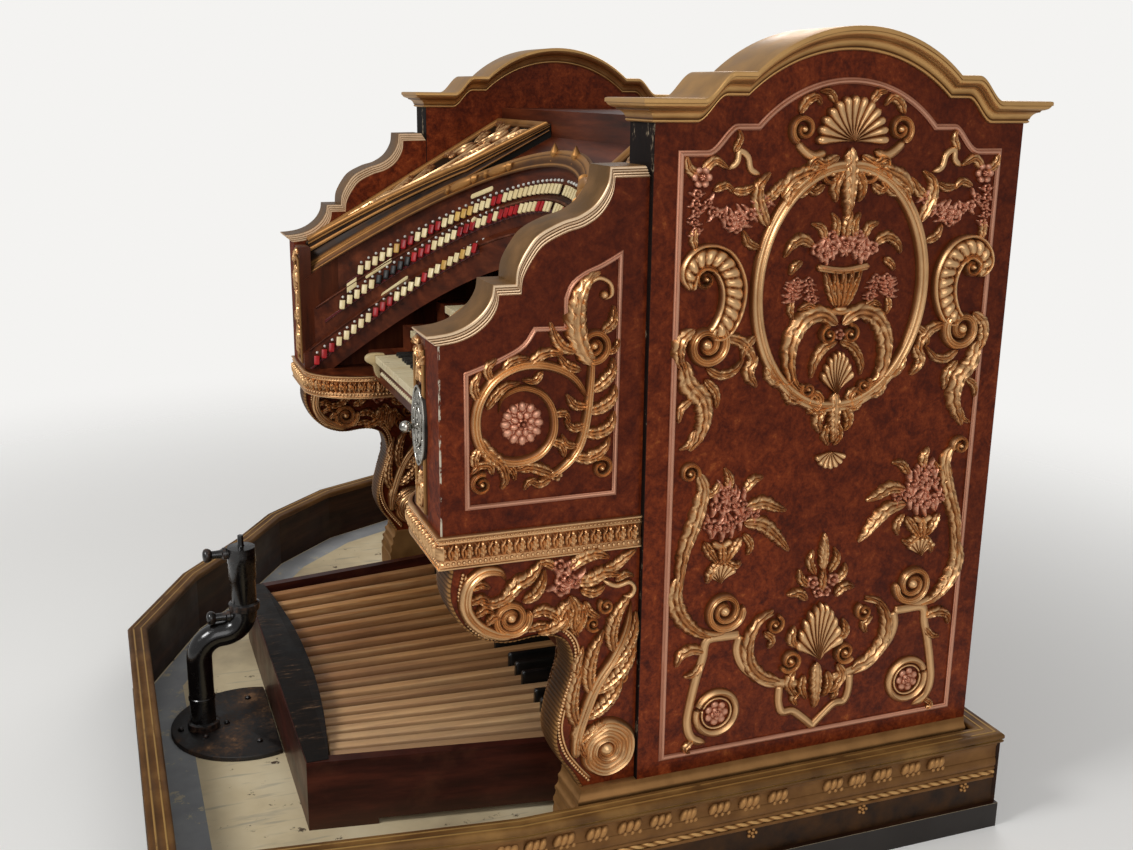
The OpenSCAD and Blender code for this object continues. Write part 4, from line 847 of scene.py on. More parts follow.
def shell(centre, radius, ribs=11, spread=100, height=16, stretch=1.0, turn_=90):
    """A fluted shell: ribs fan out from a hinge, rise towards the scalloped rim and roll over it."""
    count = ribs * 4 + 1
    fan = np.linspace(0, 1, count)
    angle = np.radians(turn_ + spread * (1 - 2 * fan))
    rib = np.abs(np.sin(np.pi * ribs * fan)) ** 0.7
    share = np.array([0.0, 0.25, 0.5, 0.75, 0.9, 0.97, 1.0])
    bowl = np.array([0.9, 0.55, 0.6, 0.8, 1.0, 0.8, 0.15])
    reach = radius * (0.9 + 0.1 * rib)[:, None] * share
    length = 1 + (stretch - 1) * np.clip(np.sin(angle), 0, 1)[:, None]
    rise = height * bowl * (0.55 + 0.45 * rib[:, None])
    flat = np.stack([centre[0] + reach * np.cos(angle)[:, None],
                     centre[1] + reach * length * np.sin(angle)[:, None], rise], axis=-1)
    under = flat[:, [-1, 0]].copy()
    under[..., 2] = -2
    shade = np.column_stack([(0.3 + 0.7 * rib[:, None] ** 1.2) * np.array([0.5, 0.6, 0.8, 0.95, 1, 1, 0.5]),
                             np.zeros((count, 2))])
    return skin(np.concatenate([flat, under], axis=1), shade)


def garland(points, radius, count, seed, height=13):
    """Flowers and small leaves bunched along a curve, moved about it by a seeded draw."""
    luck = np.random.default_rng(seed)
    path = spine(points, count)
    step, left = frame_along(path)
    parts = []
    for k, (spot, way, side_) in enumerate(zip(path, step, left)):
        size = radius * luck.uniform(0.75, 1.15)
        off = side_ * luck.uniform(-0.5, 0.5) * radius * 1.2
        parts.append(blossom(spot + off, size, height * luck.uniform(0.8, 1.1), 5, luck.uniform(0, 6)))
        for hand in (-1, 1):
            root = spot + off
            tip = root + hand * side_ * radius * luck.uniform(1.4, 2.0) + way * radius * luck.uniform(-0.8,
                                                                                                      1.2)
            parts.append(leaf([root, (root + tip) / 2 + way * 2, tip], radius * 0.5, height * 0.55, lobes=2,
                              count=10, across=5))
    return parts


def carve(table):
    """Carvings from a table: each is named, then come its numbers in its function's order, a/b/c
    where it takes several, and x,y for each point of its line or for its centre."""
    kinds = {"leaf": leaf, "bar": bar, "volute": volute, "ribbed": ribbed, "shell": shell,
             "blossom": blossom, "garland": garland}
    entries, parts = [], []
    for word in table.split():
        if word.isalpha():
            entries.append((word, [], []))
        elif "," in word:
            entries[-1][2].append([float(v) for v in word.split(",")])
        else:
            values = [float(v) if "." in v else int(v) for v in word.split("/")]
            entries[-1][1].append(values if "/" in word else values[0])
    for kind, given, spots in entries:
        made = kinds[kind](spots[0] if kind in ("volute", "shell", "blossom") else spots, *given)
        parts += made if isinstance(made, list) else [made]
    return parts


def mirrored(parts, middle):
    """The same carving on the other half of a panel."""
    return [(p * [-1, 1, 1] + [2 * middle, 0, 0], q[:, ::-1], w) for p, q, w in parts]


gold_half, rose_half = [], []

# upper corner: bow, ribbon, swag of flowers and a hanging drop
rose_half += carve("""
blossom 21 15 6 375,1425
garland 12 8 3 392,1380 420,1352 450,1345 485,1355 512,1378
garland 9 5 4 366,1395 362,1360 366,1325
garland 13 3 5 450,1350 452,1330""")
gold_half += carve("""
leaf 12 9 3 18 375,1425 352,1440 345,1462
leaf 12 9 3 18 375,1430 398,1452 425,1440
bar 7 8 26 7 430,1438 448,1452 452,1472 470,1462 478,1438 500,1428
leaf 9 8 3 16 440,1470 452,1492 448,1508
leaf 11 9 3 18 366,1335 364,1312 370,1290
leaf 14 10 4 20 505,1375 528,1392 545,1415
leaf 11 9 3 18 440,1400 462,1398 486,1408
leaf 10 9 3 16 400,1400 425,1408 440,1395""")

# large C-scroll under it, with a ridged inner curl, and its stem down the panel's edge
gold_half += carve("""
volute 24 20 1.5 1 20 388,1236
ribbed 12/22/27/27/24/18 22 15 362,1212 356,1250 384,1276 424,1266 448,1226 448,1180 430,1140 398,1124
volute 43 60 1.7 -1 18 398,1108
leaf 15 11 4 26 440,1120 470,1110 492,1085 488,1062
leaf 17 13 5 30 372,1140 348,1120 344,1090 356,1060
leaf 21 15 8 44 352,1080 362,1040 388,1010 396,975 386,940 370,915
leaf 12 11 4 24 400,1062 425,1048 452,1052 474,1074
leaf 12 10 4 20 398,1040 420,1015 424,985
leaf 10 9 3 18 372,1000 352,985 348,960
leaf 9 9 3 16 382,940 372,915 352,905""")

# oval wreath, right half built by mirroring: a reeded band wrapped by leaves
swing = np.radians(np.linspace(88, 272, 15))
gold_half += [bar(np.column_stack([691 + 188 * np.cos(swing), 1203 + 240 * np.sin(swing)]), 14.5, 16, 90,
                  11, 2, (0.001, 0.001))]
for turn_, size in ((104, 15), (122, 16), (214, 16), (232, 17), (250, 15)):
    a0, a1 = math.radians(turn_), math.radians(turn_ + 15)
    gold_half += [leaf([(691 + 190 * math.cos(a0), 1203 + 242 * math.sin(a0)),
                        (691 + 194 * math.cos((a0 + a1) / 2), 1203 + 247 * math.sin((a0 + a1) / 2)),
                        (691 + 186 * math.cos(a1), 1203 + 238 * math.sin(a1))], size, 14, 4, 24)]
gold_half += carve("""
leaf 17 12 5 28 520,1330 500,1372 500,1402 520,1422
leaf 19 13 5 32 545,1385 565,1412 600,1428 640,1440
leaf 10 9 4 22 560,1390 585,1390 605,1405 622,1425
leaf 16 12 4 24 510,1080 495,1050 512,1022
leaf 15 12 4 26 530,1060 545,1035 575,1022 592,1040
leaf 11 10 3 18 505,1290 482,1300 470,1322
leaf 11 10 3 18 508,1120 486,1100 480,1080""")

# head of the wreath: shell, side curls and a pendant of leaves
gold_half += carve("""
volute 27 250 1.5 -1 15 585,1512
leaf 12 11 4 22 576,1540 588,1560 606,1568 618,1555
bar 9/11/9 13 24 7 1 640,1470 612,1462 590,1472 572,1490
leaf 15 12 4 24 668,1462 640,1448 618,1455 608,1440
volute 22 100 1.4 1 15 652,1428
leaf 14 13 4 24 680,1440 664,1408 668,1380
leaf 11 10 3 18 640,1408 620,1396 604,1404
leaf 10 10 3 18 655,1560 640,1578 622,1580""")

# inside the wreath: bunches beside the urn and the lyre scroll under it
rose_half += carve("""
garland 15 4 7 16 630,1276 655,1276 682,1290
garland 11 5 8 583,1222 584,1205 583,1188
garland 9 4 9 618,1222 620,1200 622,1184""")
gold_half += carve("""
leaf 14 11 4 26 625,1290 600,1302 578,1292 566,1272
leaf 11 10 3 18 600,1262 585,1252 576,1238
leaf 9 9 3 16 584,1185 580,1168 585,1150
leaf 11 10 3 20 650,1300 640,1322 620,1330
leaf 11 10 4 20 670,1300 672,1330 662,1348
leaf 20 16 8 48 688,1132 655,1152 618,1142 594,1105 592,1060 606,1026 632,1012
leaf 13 12 5 28 690,1098 662,1086 644,1060 640,1032
leaf 10 10 3 18 640,1160 622,1172 600,1165
volute 19 80 1.4 1 15 668,1112
volute 17 130 1.3 1 14 628,1004
leaf 13 12 4 24 640,1000 655,985 650,965 632,958
leaf 10 9 3 18 610,1000 590,990 575,1000
leaf 15 13 4 26 672,968 658,940 664,915
leaf 10 11 3 20 682,930 676,905 686,885
volute 18 200 1.4 -1 14 650,978""")

# basket of flowers on its long S-scroll
gold_half += carve("""
volute 21 330 1.5 1 14 372,852
leaf 17 14 9 54 392,852 404,822 398,785 386,748 370,705 362,655 358,605
bar 6/8/8/9/10/9/7 12 60 7 1 392,858 410,818 396,760 376,700 364,640 360,590 378,540 412,508 455,498 492,512
leaf 19 14 7 42 360,640 352,598 366,556 396,524 432,506
leaf 11 10 3 18 404,800 424,806 438,826
volute 44 10 2.1 -1 15 0.24 464,548
shell 42 7 62 13 1.0 90 450,612
leaf 12 11 4 20 450,660 432,640 424,618
leaf 12 11 4 20 455,660 478,646 494,652
bar 9 12 18 7 2 428,700 450,690 475,700
leaf 13 13 4 22 410,705 425,680 440,660
leaf 13 13 4 22 495,705 478,682 462,660
leaf 12 14 4 22 452,700 452,675 452,655
leaf 17 12 5 30 500,765 535,772 562,762 588,752
leaf 19 13 6 34 498,735 535,728 565,705 598,668
leaf 12 11 4 22 460,805 462,830 452,850
leaf 11 10 3 18 410,765 396,788 398,808
leaf 11 10 3 18 405,735 385,728 380,706
leaf 12 11 4 22 495,800 515,822 535,826
leaf 11 10 4 20 500,712 515,690 510,668""")
rose_half += carve("""
garland 15 5 11 19 415,740 450,732 488,742
garland 15 4 12 20 430,772 460,768 492,772
garland 13 3 13 17 445,800 470,798
garland 11 2 14 15 505,760 522,750""")

# flat strapwork that runs from the basket's foot to a medallion with a rosette
gold_half += carve("""
bar 11 7 70 9 3 0.001/0.06 505,488 470,489 436,489 424,478 420,448 408,408 396,352 390,305 402,268 436,250
bar 11 7 46 9 3 0.001/0.001 505,488 500,452 518,412 556,382 604,362 652,352
leaf 14 12 4 26 420,462 396,470 372,462 364,440
leaf 11 10 3 18 420,440 404,420 382,414
leaf 9 9 3 16 404,262 388,248 400,236""")
spin = np.radians(np.linspace(160, 520, 25))
gold_half += [bar(np.column_stack([456 + 47 * np.cos(spin), 318 + 47 * np.sin(spin)]), 9, 11, 72, 7, 1,
                  (0.001, 0.001)),
              bar(np.column_stack([456 + 34 * np.cos(spin), 318 + 34 * np.sin(spin)]), 3, 7, 60, 5, 0,
                  (0.001, 0.001))]
rose_half += carve("""
blossom 28 10 7 456,318
blossom 15 14 5 0.4 456,318""")

# central shell on its cartouche, with C-scrolls at its sides
gold_half += carve("""
leaf 17 14 8 44 604,366 562,384 534,420 532,465 552,502 582,516
bar 6 11 44 7 600,352 552,376 520,418 520,470 544,512 586,524
volute 20 70 1.4 -1 13 584,500
volute 25 210 1.6 1 15 626,412
bar 10 8 44 9 3 0.02/0.001 606,356 606,318 616,292 640,290 664,272 690,248 696,242
leaf 13 12 4 26 640,386 628,362 640,338 655,325
leaf 12 12 4 24 664,372 660,345 672,318
leaf 10 10 3 18 655,332 642,322 650,305
leaf 11 10 3 20 560,486 578,470 572,450
leaf 13 12 4 24 640,440 628,460 634,484
leaf 13 12 4 24 660,545 640,562 616,560
leaf 12 11 4 22 665,575 645,592 640,612
leaf 11 11 4 22 676,600 662,628 668,650""")
rose_half += carve("""
blossom 15 16 5 0.3 668,585
blossom 13 14 5 0.8 684,560""")

gold_whole = carve("""
shell 80 13 96 20 1.08 693,1490
shell 46 9 60 18 1.95 693,990
shell 38 7 78 12 0.6 270 693,868
shell 64 11 70 20 2.0 693,408
leaf 20 20 6 44 13 693,1478 693,1430 693,1358
leaf 17 18 5 36 13 693,995 693,950 693,898
leaf 17 16 5 34 13 693,398 693,355 693,300
leaf 14 13 4 30 13 693,608 693,645 693,682
leaf 14 13 4 26 693,1300 695,1330 702,1352
bar 8 15 34 9 1 0.05/0.05 632,1248 693,1240 754,1248
bar 7 12 24 7 1 0.1/0.1 664,1160 693,1156 722,1160
leaf 11 14 3 22 693,560 693,585 693,610""")
for k, lean in enumerate((-2, -1, 0, 1, 2)):
    gold_whole.append(leaf([(693 + lean * 6, 1168), (693 + lean * 13, 1200), (693 + lean * 20, 1238)], 10,
                           15 - abs(lean) * 2, 4, 26))
gold_whole += carve("""
bar 16 13 14 7 0 0.3/0.3 693,1170 693,1158""")
rose_whole = carve("""
blossom 20 18 6 693,1292
blossom 13 15 722,1308
blossom 13 15 662,1308
blossom 12 14 693,1112""")

gold_panel = gold_whole + gold_half + mirrored(gold_half, 693)
rose_panel = rose_whole + rose_half + mirrored(rose_half, 693)
rose_gold = coat("rose_tinted_gold_leaf", draw_gold("#260e08", "#9c5a40", "#dda285", 0.8, 0.34))
yellow_gold = coat("burnished_gold_leaf", draw_gold("#1c0c05", "#8f582f", "#e6b884", 0.88, 0.27))
bead_gold = coat("rose_gold_bead", draw_gold("#2b140b", "#9c5e44", "#d39a7e", 0.7, 0.36))
for side, name in ((1, "right_tower"), (-1, "left_tower")):
    wall = face(side, tower_side_x)
    piece(name + "_bead", set_on([around(panel_line, bead_profile)], wall), bead_gold, "rose_gold",
          name + "_frame", sharp=50)
    piece(name + "_ornament", set_on(gold_panel, wall), yellow_gold, "old_gold", name + "_frame", sharp=60)
    piece(name + "_flowers", set_on(rose_panel, wall), rose_gold, "rose_gold", name + "_frame", sharp=60)


# Cheeks: the stepped side walls over the arms, burl veneered like the towers, with a mitred rose
# bead round the panel and one carved spiral of acanthus growing from its lower back corner.
cheek_low, cheek_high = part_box("right_cheek")
cheek_x = np.array([cheek_low.x, cheek_high.x]) * 1000 - middle_x
arm_y = cheek_low.y * 1000 - front_y
arm_d = (cheek_high.y - cheek_low.y) * 1000
cheek_frame_shares = np.array([
    (0.115, 0.12), (0.115, 0.8), (0.2, 0.83), (0.29, 0.865), (0.39, 0.92), (0.445, 1), (0.59, 0.995),
    (0.59, 1.13), (0.62, 1.2), (0.68, 1.25), (0.77, 1.29), (0.877, 1.35), (0.867, 0.12)])
soft_front = spine(cheek_frame_shares[1:6], 14)
soft_back = spine(cheek_frame_shares[7:12], 14)
cheek_line = np.concatenate([cheek_frame_shares[:1], soft_front, cheek_frame_shares[6:7], soft_back,
                             cheek_frame_shares[12:]])
cheek_line = (cheek_line * [arm_d, 1159 - 772] + [arm_y, 772])[::-1]

cheek_gold = []
cheek_gold += carve("""
bar 7/10/11/10/7 13 48 9 2 0.1/0.05 60,868 92,874 126,898 148,932 160,985 166,1050 168,1100
bar 6/11/12/12/10/8/6 14 110 9 2 0.05/0.08 164,1010 132,1058 84,1084 28,1088 -20,1068 -50,1030 -60,985
    -50,940 -18,912 26,904 68,918 92,954 90,1000 66,1034 26,1046 -8,1030 -16,1000
volute 32 250 1.7 1 16 170,1118
leaf 24 18 8 46 13 172,1080 150,1110 138,1150 142,1195 160,1230 180,1238
bar 5 12 44 7 142,1140 138,1185 152,1226 176,1244 200,1234 204,1212 190,1202
blossom 9 13 0 190,1212
leaf 14 12 5 28 140,1108 112,1118 96,1140 90,1160
leaf 13 12 4 24 146,1072 120,1082 104,1102
leaf 13 12 4 24 186,1140 206,1158 208,1186
leaf 9 9 3 16 196,1100 212,1108 220,1128
leaf 16 14 5 28 166,1030 186,1042 204,1062 206,1086
leaf 16 14 5 28 160,990 184,996 204,1010 212,1034
leaf 16 14 5 28 152,950 178,948 200,958 210,984
leaf 15 13 5 28 130,905 160,900 186,912 200,934
leaf 12 11 4 22 158,1000 136,1006 122,1024
leaf 11 11 4 22 156,965 134,962 118,976
leaf 10 10 3 20 140,925 120,930 112,948
volute 22 130 1.5 -1 14 190,878
leaf 11 11 4 22 150,892 170,906 192,904
leaf 14 12 5 30 96,872 70,884 44,892 20,886
leaf 11 10 3 20 88,866 66,858 48,866
leaf 8 8 3 16 60,868 44,862 36,850
blossom 13 13 98,872
leaf 13 12 4 26 40,1086 70,1106 104,1104
leaf 12 11 4 24 -10,1078 10,1096 38,1100
leaf 12 11 4 24 -52,1024 -62,1052 -50,1078
leaf 11 10 4 22 -30,1062 -36,1084 -20,1100
leaf 12 11 4 24 86,940 106,930 112,908
leaf 10 10 3 18 92,990 112,990 122,974
leaf 11 11 4 22 20,906 34,892 56,894
leaf 10 10 3 18 70,1076 56,1060 34,1062
leaf 12 12 5 28 -40,1010 -26,1030 -6,1048 20,1052
leaf 17 14 6 34 -56,960 -38,930 -16,908 -8,884 -14,864
leaf 12 11 4 24 -52,940 -62,918 -56,896
leaf 11 10 4 22 -10,905 8,892 14,872
volute 21 60 1.5 1 14 -50,868
leaf 11 11 4 22 -28,884 -34,900 -52,902 -66,888""")
cheek_rose = [domes([(30, 978)], 84, 84, 4, sides=40)]
for radius_, count_, size_, high_, start_ in ((32, 12, (24, 18), 9, 0.0), (17, 8, (20, 15), 13, 0.3)):
    for a in start_ + np.arange(count_) * 2 * math.pi / count_:
        cheek_rose.append(domes([(30 + radius_ * math.cos(a), 978 + radius_ * math.sin(a))], *size_, high_,
                                lean=math.degrees(a), sides=10))
cheek_rose += carve("""
blossom 12 18 6 30,978""")
for side, name in ((1, "right_cheek"), (-1, "left_cheek")):
    wall = face(side, cheek_x[1])
    piece(name + "_bead", set_on([around(cheek_line, np.array(bead_profile) * [0.8, 0.9])], wall),
          bead_gold, "rose_gold", name + "_frame", sharp=50)
    piece(name + "_spiral", set_on(cheek_gold, wall), yellow_gold, "old_gold", name + "_frame", sharp=60)
    piece(name + "_rosette", set_on(cheek_rose, wall), rose_gold, "rose_gold", name + "_frame", sharp=60)


# Cheek caps: a swept moulding in rubbed cream gold along each cheek's stepped edge. The edge is a smooth curve
# through shares of the cheek's depth and rise; three coves along its outside are dark with glaze and painted shade.
cheek_foot_shares = [(0, 0), (0.09, 0.017), (0.167, 0.058), (0.234, 0.13), (0.273, 0.215), (0.283, 0.294)]
cheek_body_shares = [(0.387, 0.294), (0.397, 0.396), (0.443, 0.512), (0.498, 0.597), (0.599, 0.666),
                     (0.687, 0.703),
                     (0.766, 0.775), (0.818, 0.887), (0.83, 0.996)]


def hermite(points, steps):
    """The cubic of the source's own spline, cut in equal parts of each span."""
    p = np.asarray(points, float)
    q = np.concatenate([p[:1], p, p[-1:]])
    t = np.linspace(0, 1, steps, endpoint=False)[None, :, None]
    a, b, c, d = q[:-3, None], q[1:-2, None], q[2:-1, None], q[3:, None]
    spans = (2 * b + (c - a) * t + (2 * a - 5 * b + 4 * c - d) * t ** 2 + (3 * b - a - 3 * c + d) * t ** 3) / 2
    return np.concatenate([spans.reshape(-1, 2), p[-1:]])


cap_edge = np.concatenate([hermite(cheek_foot_shares, 6), hermite(cheek_body_shares, 6), [(1, 1)]])
cap_edge = cap_edge * [arm_d, 1452 - 1159] + [arm_y, 1159 - 26]
cap_profile = np.array([
    (1.2, 0), (2, 1.5), (4.5, 2.2), (5.6, 3.8), (5, 5.4), (3.4,
                                                           6.2), (3.4,
                                                                  7), (6.2, 7.6), (7.6, 9.4), (7,
                                                                                               11.2), (5.2,
                                                                                                       12),
                                                                                                       (5.2,
                                                                                                        12.8),
    (8.4, 13.6), (10.4, 15.2), (11.2, 17.4), (9.6, 19), (9.6, 19.6), (12, 20.2), (12, 23.6), (10.6,
                                                                                              25.2), (8, 26)])
cap_wear_and_shade = [0.2, 0.5, 0.9, 1, 0.6, 0, 0, 0.7, 1, 0.6, 0, 0, 0.8, 1, 0.8, 0, 0, 1, 1, 0.6, 0.0]
cream_gold = coat("rubbed_cream_gold", draw_gold("#61431c", "#a67b50", "#f2d3ae", 0.72, 0.36))
for side, name in ((1, "right_cheek_cap"), (-1, "left_cheek_cap")):
    points, quads, wear_and_shade = capping(cap_edge, cap_profile, (-0.55, 0.83), cheek_x[0], cheek_x[1], (1, 0, 0),
                                  cap_wear_and_shade)
    made = (points * [side, 1, 1], quads, wear_and_shade)
    piece(name + "_moulding", [made], cream_gold, "old_gold", name, sharp=40)


# Scroll legs: burl veneered brackets that carry the arms, carved on the outside with a scroll, a
# rose spray and a long plume, and edged in front with a leafy roll that ends in a big volute.
leg_low, leg_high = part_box("right_leg")
leg_x = np.array([leg_low.x, leg_high.x]) * 1000 - middle_x
leg_gold = []
leg_gold += carve("""
volute 38 20 2.2 -1 15 8,592
bar 7/13/15/15/13/10 18 60 11 2 0.1/0.08 0,668 -16,690 -50,692 -78,666 -82,622 -58,584 -18,560 22,556
leaf 11 14 3 24 -76,660 -56,668 -38,660
leaf 11 14 3 24 -76,632 -54,640 -38,630
leaf 11 14 3 24 -66,604 -46,616 -30,608
leaf 11 14 3 24 -44,584 -28,598 -12,592
leaf 17 15 62,552 92,560 112,578 108,604
leaf 14 14 4 112,548 122,572 118,602
leaf 14 14 4 136,540 150,566 150,598
leaf 14 13 5 28 -60,640 -34,628 -8,636 6,656
leaf 19 15 6 -10,620 14,652 42,668 64,696
leaf 16 13 5 30 30,622 52,632 66,652 72,676
leaf 15 12 5 28 48,590 70,596 92,586 108,566
leaf 11 10 4 22 40,560 66,566 92,562
leaf 12 11 4 24 -20,560 -44,568 -62,592
leaf 18 14 6 32 126,676 150,694 178,700 204,690
leaf 19 14 6 34 136,650 166,650 196,660 226,652
leaf 14 12 4 26 196,664 222,672 244,688 262,698
leaf 12 11 4 22 100,680 84,694 64,696
bar 6 11 36 7 196,646 226,630 254,634 266,620 258,604 242,606
leaf 10 9 3 18 225,640 246,650 262,644
leaf 13 12 4 24 150,630 176,622 198,632
volute 17 120 1.4 1 13 206,590
volute 16 320 1.4 -1 13 178,556
leaf 15 13 5 30 128,622 140,596 136,566 146,540
leaf 12 11 4 24 160,606 170,584 192,570
bar 10/14/15/14/12/9/5 17 84 11 3 0.03/0.1 146,262 148,306 162,356 188,420 226,476 250,530 262,592
leaf 20 15 8 40 164,350 194,366 222,396 236,436
leaf 21 15 9 40 186,404 220,424 248,456 264,496
leaf 19 14 8 38 212,452 242,478 260,514 267,556
leaf 18 14 8 38 226,486 220,526 232,566 256,598
leaf 19 15 8 40 180,396 172,440 180,486 200,524
leaf 18 14 8 38 152,330 138,374 144,424 158,458
leaf 14 12 6 28 152,296 182,320 208,336
leaf 13 12 6 30 148,420 146,462 158,500
leaf 15 13 5 26 106,560 112,588 130,610
leaf 14 13 5 26 142,538 154,566 160,592
volute 13 60 1.3 -1 10 242,428
volute 58 150 3.2 -1 15 214,272
leaf 15 13 5 30 158,352 150,322 156,292 172,262""")
leg_rose = carve("""
garland 17 4 21 18 112,640 122,668 138,650
blossom 15 16 106,688
blossom 13 15 134,686""")
roll_line = [(-96, 690), (-104, 640), (-88, 588), (-52, 556), (-6, 548), (44, 560), (88, 556), (118, 536),
             (134, 500), (128, 450),
             (108, 380), (100, 330), (112, 280), (138, 240), (166, 206)]
edge_beads = domes(spine([(y + 9, z + 2) for y, z in roll_line], 96), 8.6, 8.6, 6, sides=8)
leg_gold += [edge_beads, bar([(y + 16, z + 3) for y, z in roll_line], 3.2, 5, 90, 5, 0, (0.01, 0.01))]
for side, name in ((1, "right_leg"), (-1, "left_leg")):
    wall = face(side, leg_x[1])
    piece(name + "_carving", set_on(leg_gold, wall), yellow_gold, "old_gold", sharp=60)
    piece(name + "_roses", set_on(leg_rose, wall), rose_gold, "rose_gold", sharp=60)


# Arm bands: a carved and gilded frieze of upright leaves between two rows of beads, wrapped round
# the outer side, the front and the rounded inner corner of each arm's lower block.
corner_turn = np.radians(np.linspace(0, 90, 19))


def arm_plan(grow):
    """The block's outline grown outwards: outer side, front, a quarter ellipse, then the inner side."""
    curve = np.column_stack([513 + 147 - (147 + grow) * np.sin(corner_turn),
                             arm_y + 181 - (181 + grow) * np.cos(corner_turn)])
    return np.concatenate([[(cheek_x[1] + grow, tower_y[0]), (cheek_x[1] + grow, arm_y - grow)], curve,
                           [(513 - grow, tower_y[0])]])


def walk(outline, at):
    """Places along an outline at the given lengths from its start, with the outward direction."""
    run_ = np.concatenate([[0], np.cumsum(np.linalg.norm(np.diff(outline, axis=0), axis=1))])
    spot = np.column_stack([np.interp(at, run_, outline[:, k]) for k in (0, 1)])
    span = np.clip(np.searchsorted(run_, at, side="right") - 1, 0, len(outline) - 2)
    way = np.diff(outline, axis=0)[span]
    way /= np.linalg.norm(way, axis=1)[:, None]
    return spot, way, run_[-1]


def wrap(parts, outline):
    """Parts laid on an upright wall that follows an outline: along becomes length on the outline,
    up stays up, and out stands square to the wall."""
    made = []
    for points, quads, wear_and_shade in parts:
        spot, way, _ = walk(outline, points[:, 0])
        out = np.column_stack([-way[:, 1], way[:, 0]])
        made.append((np.column_stack([spot + out * points[:, 2:3], points[:, 1]]), quads[:, ::-1], wear_and_shade))
    return made


band_outline = arm_plan(0)[:, :]
band_length = walk(band_outline, np.array([0.0]))[2]
band_z = 706
band_profile = [(0, 0), (0, 6.5), (1.5, 8.6), (4, 8.6), (5, 6.2), (6.2, 5.4), (17, 5.4), (18.5, 4), (22, 3),
                (40, 3.4), (50, 5), (51.5, 6.4),
                (53, 6.4), (54, 5.4), (60, 5.4), (61, 7), (62.5, 9), (65, 9), (66, 6)]
band_loop = np.array([(up_, out_) for up_, out_ in band_profile] + [(66, -3), (0, -3)])
band_rings = np.stack([np.column_stack([arm_plan(out_), np.full(len(band_outline), band_z + up_)]) for up_,
                       out_ in band_loop], axis=1)
# The band's value is low where it stands back: painted shade in its recesses.
band_body = skin(band_rings, np.broadcast_to(np.clip(band_loop[:, 1] / 6 - 0.35, 0, 1), band_rings.shape[:2]))
tile = []
spots = np.arange(14, band_length - 6, 26.0)
for at in spots:
    tile += [leaf([(at, band_z + 17), (at, band_z + 31), (at, band_z + 46)], 8.6, 9, 3, 12, 7),
             leaf([(at + 11, band_z + 18), (at + 15, band_z + 34), (at + 7, band_z + 46)], 4, 8, 2, 12, 5),
             leaf([(at + 11, band_z + 18), (at + 8, band_z + 30), (at + 16, band_z + 47)], 4, 7, 2, 12, 5)]
tile = [(p + [0, 0, 3.2], q, w) for p, q, w in tile]
low_beads = domes(np.column_stack([np.arange(6, band_length - 3, 10.5),
                                   np.full(len(np.arange(6, band_length - 3, 10.5)),
                                           band_z + 11.6)]), 9, 9, 3.6, sides=6)
high_beads = domes(np.column_stack([np.arange(6, band_length - 3, 8.5),
                                    np.full(len(np.arange(6, band_length - 3, 8.5)),
                                            band_z + 57)]), 6.5, 5, 3, sides=6)
beads_out = [(p + [0, 0, 5.2], q, w) for p, q, w in (low_beads, high_beads)]
for side, name in ((1, "right_arm_band"), (-1, "left_arm_band")):
    parts = [band_body] + [(p, q[:, ::-1], w) for p, q, w in wrap([(p, q[:, ::-1], w) for p, q,
                                                                   w in tile + beads_out], band_outline)]
    parts = [(p * [side, 1, 1], q, w) for p, q, w in parts]
    piece(name + "_frieze", parts, yellow_gold, "old_gold", name, sharp=50)


# Case boards, desk, arms and stop rail: plain mahogany stained nearly black-brown and varnished.
# The CAD boards stay; the grain runs along the console's width in streaks 12 mm apart.
def draw_mahogany(dark, mid, light, stretch, soft=0.3):
    """Straight-grained wood: long streaks of two widths, with pores as fine dents."""
    def draw(tree):
        streak = grain(tree, 26, stretch, detail=6, rough=0.62, distortion=0.3)
        pores = grain(tree, 4, stretch, detail=2)
        dust = grain(tree, 150, detail=4)
        tone = ramp(tree, streak, [(0.3, dark), (0.5, mid), (0.72, light)])
        dull = blend_colours(tree, shift(tree, dust, 0.5, 0.8, 0, 0.1), tone, "#7d5a40")
        return add(tree, "ShaderNodeBsdfPrincipled", {
            "Base Color": dull, "Roughness": shift(tree, dust, 0.3, 0.7, soft, soft + 0.16),
            "Specular IOR Level": 0.12,
            "Coat Weight": 0.05, "Coat Roughness": 0.15, "Normal": dent(tree, pores, 0.12)}).outputs[0]
    return draw


mahogany = coat("varnished_dark_mahogany", draw_mahogany("#28110a", "#4d2110", "#70361d", (0.12, 1, 1)))
upright_mahogany = coat("varnished_upright_mahogany", draw_mahogany("#2a120a", "#4f210f", "#73381c",
                                                                    (1, 1, 0.12)))
dress(mahogany, "back_panel", "top_lid", "knee_panel", "key_desk", "key_cheeks", "piston_rails",
      "name_board", "stop_rail", "music_panel")
dress(upright_mahogany, "right_arm", "left_arm")


# Front edges of the legs: a roll of small overlapping leaves, gilded, laid over the whole
# thickness of each leg. Its section is half a barrel whose height swells once for each leaf.
leg_shares = np.array([
    (0.049, 1), (0.034, 0.89), (0.08, 0.79), (0.167, 0.718), (0.26,
                                                              0.685), (0.345, 0.677), (0.45, 0.685), (0.54,
                                                                                                      0.679),
    (0.622, 0.638), (0.655, 0.54), (0.632, 0.45), (0.583, 0.32), (0.569,
                                                                  0.22), (0.6, 0.14), (0.66, 0.07), (0.71,
                                                                                                     0)])
leg_line = spine(leg_shares * [arm_d, 706 - 195] + [arm_y, 195], 520)
leg_step, leg_left = frame_along(leg_line)
leaf_lap = np.abs(np.sin(np.pi * 74 * np.linspace(0, 1, 520))) ** 0.6
across_leg = np.linspace(0, np.pi, 9)
roll_x = (leg_x[0] + leg_x[1]) / 2 + (leg_x[1] - leg_x[0] + 9) / 2 * -np.cos(across_leg)
roll_out = (3.6 + 2.2 * leaf_lap[:, None]) * np.sin(across_leg) ** 0.55
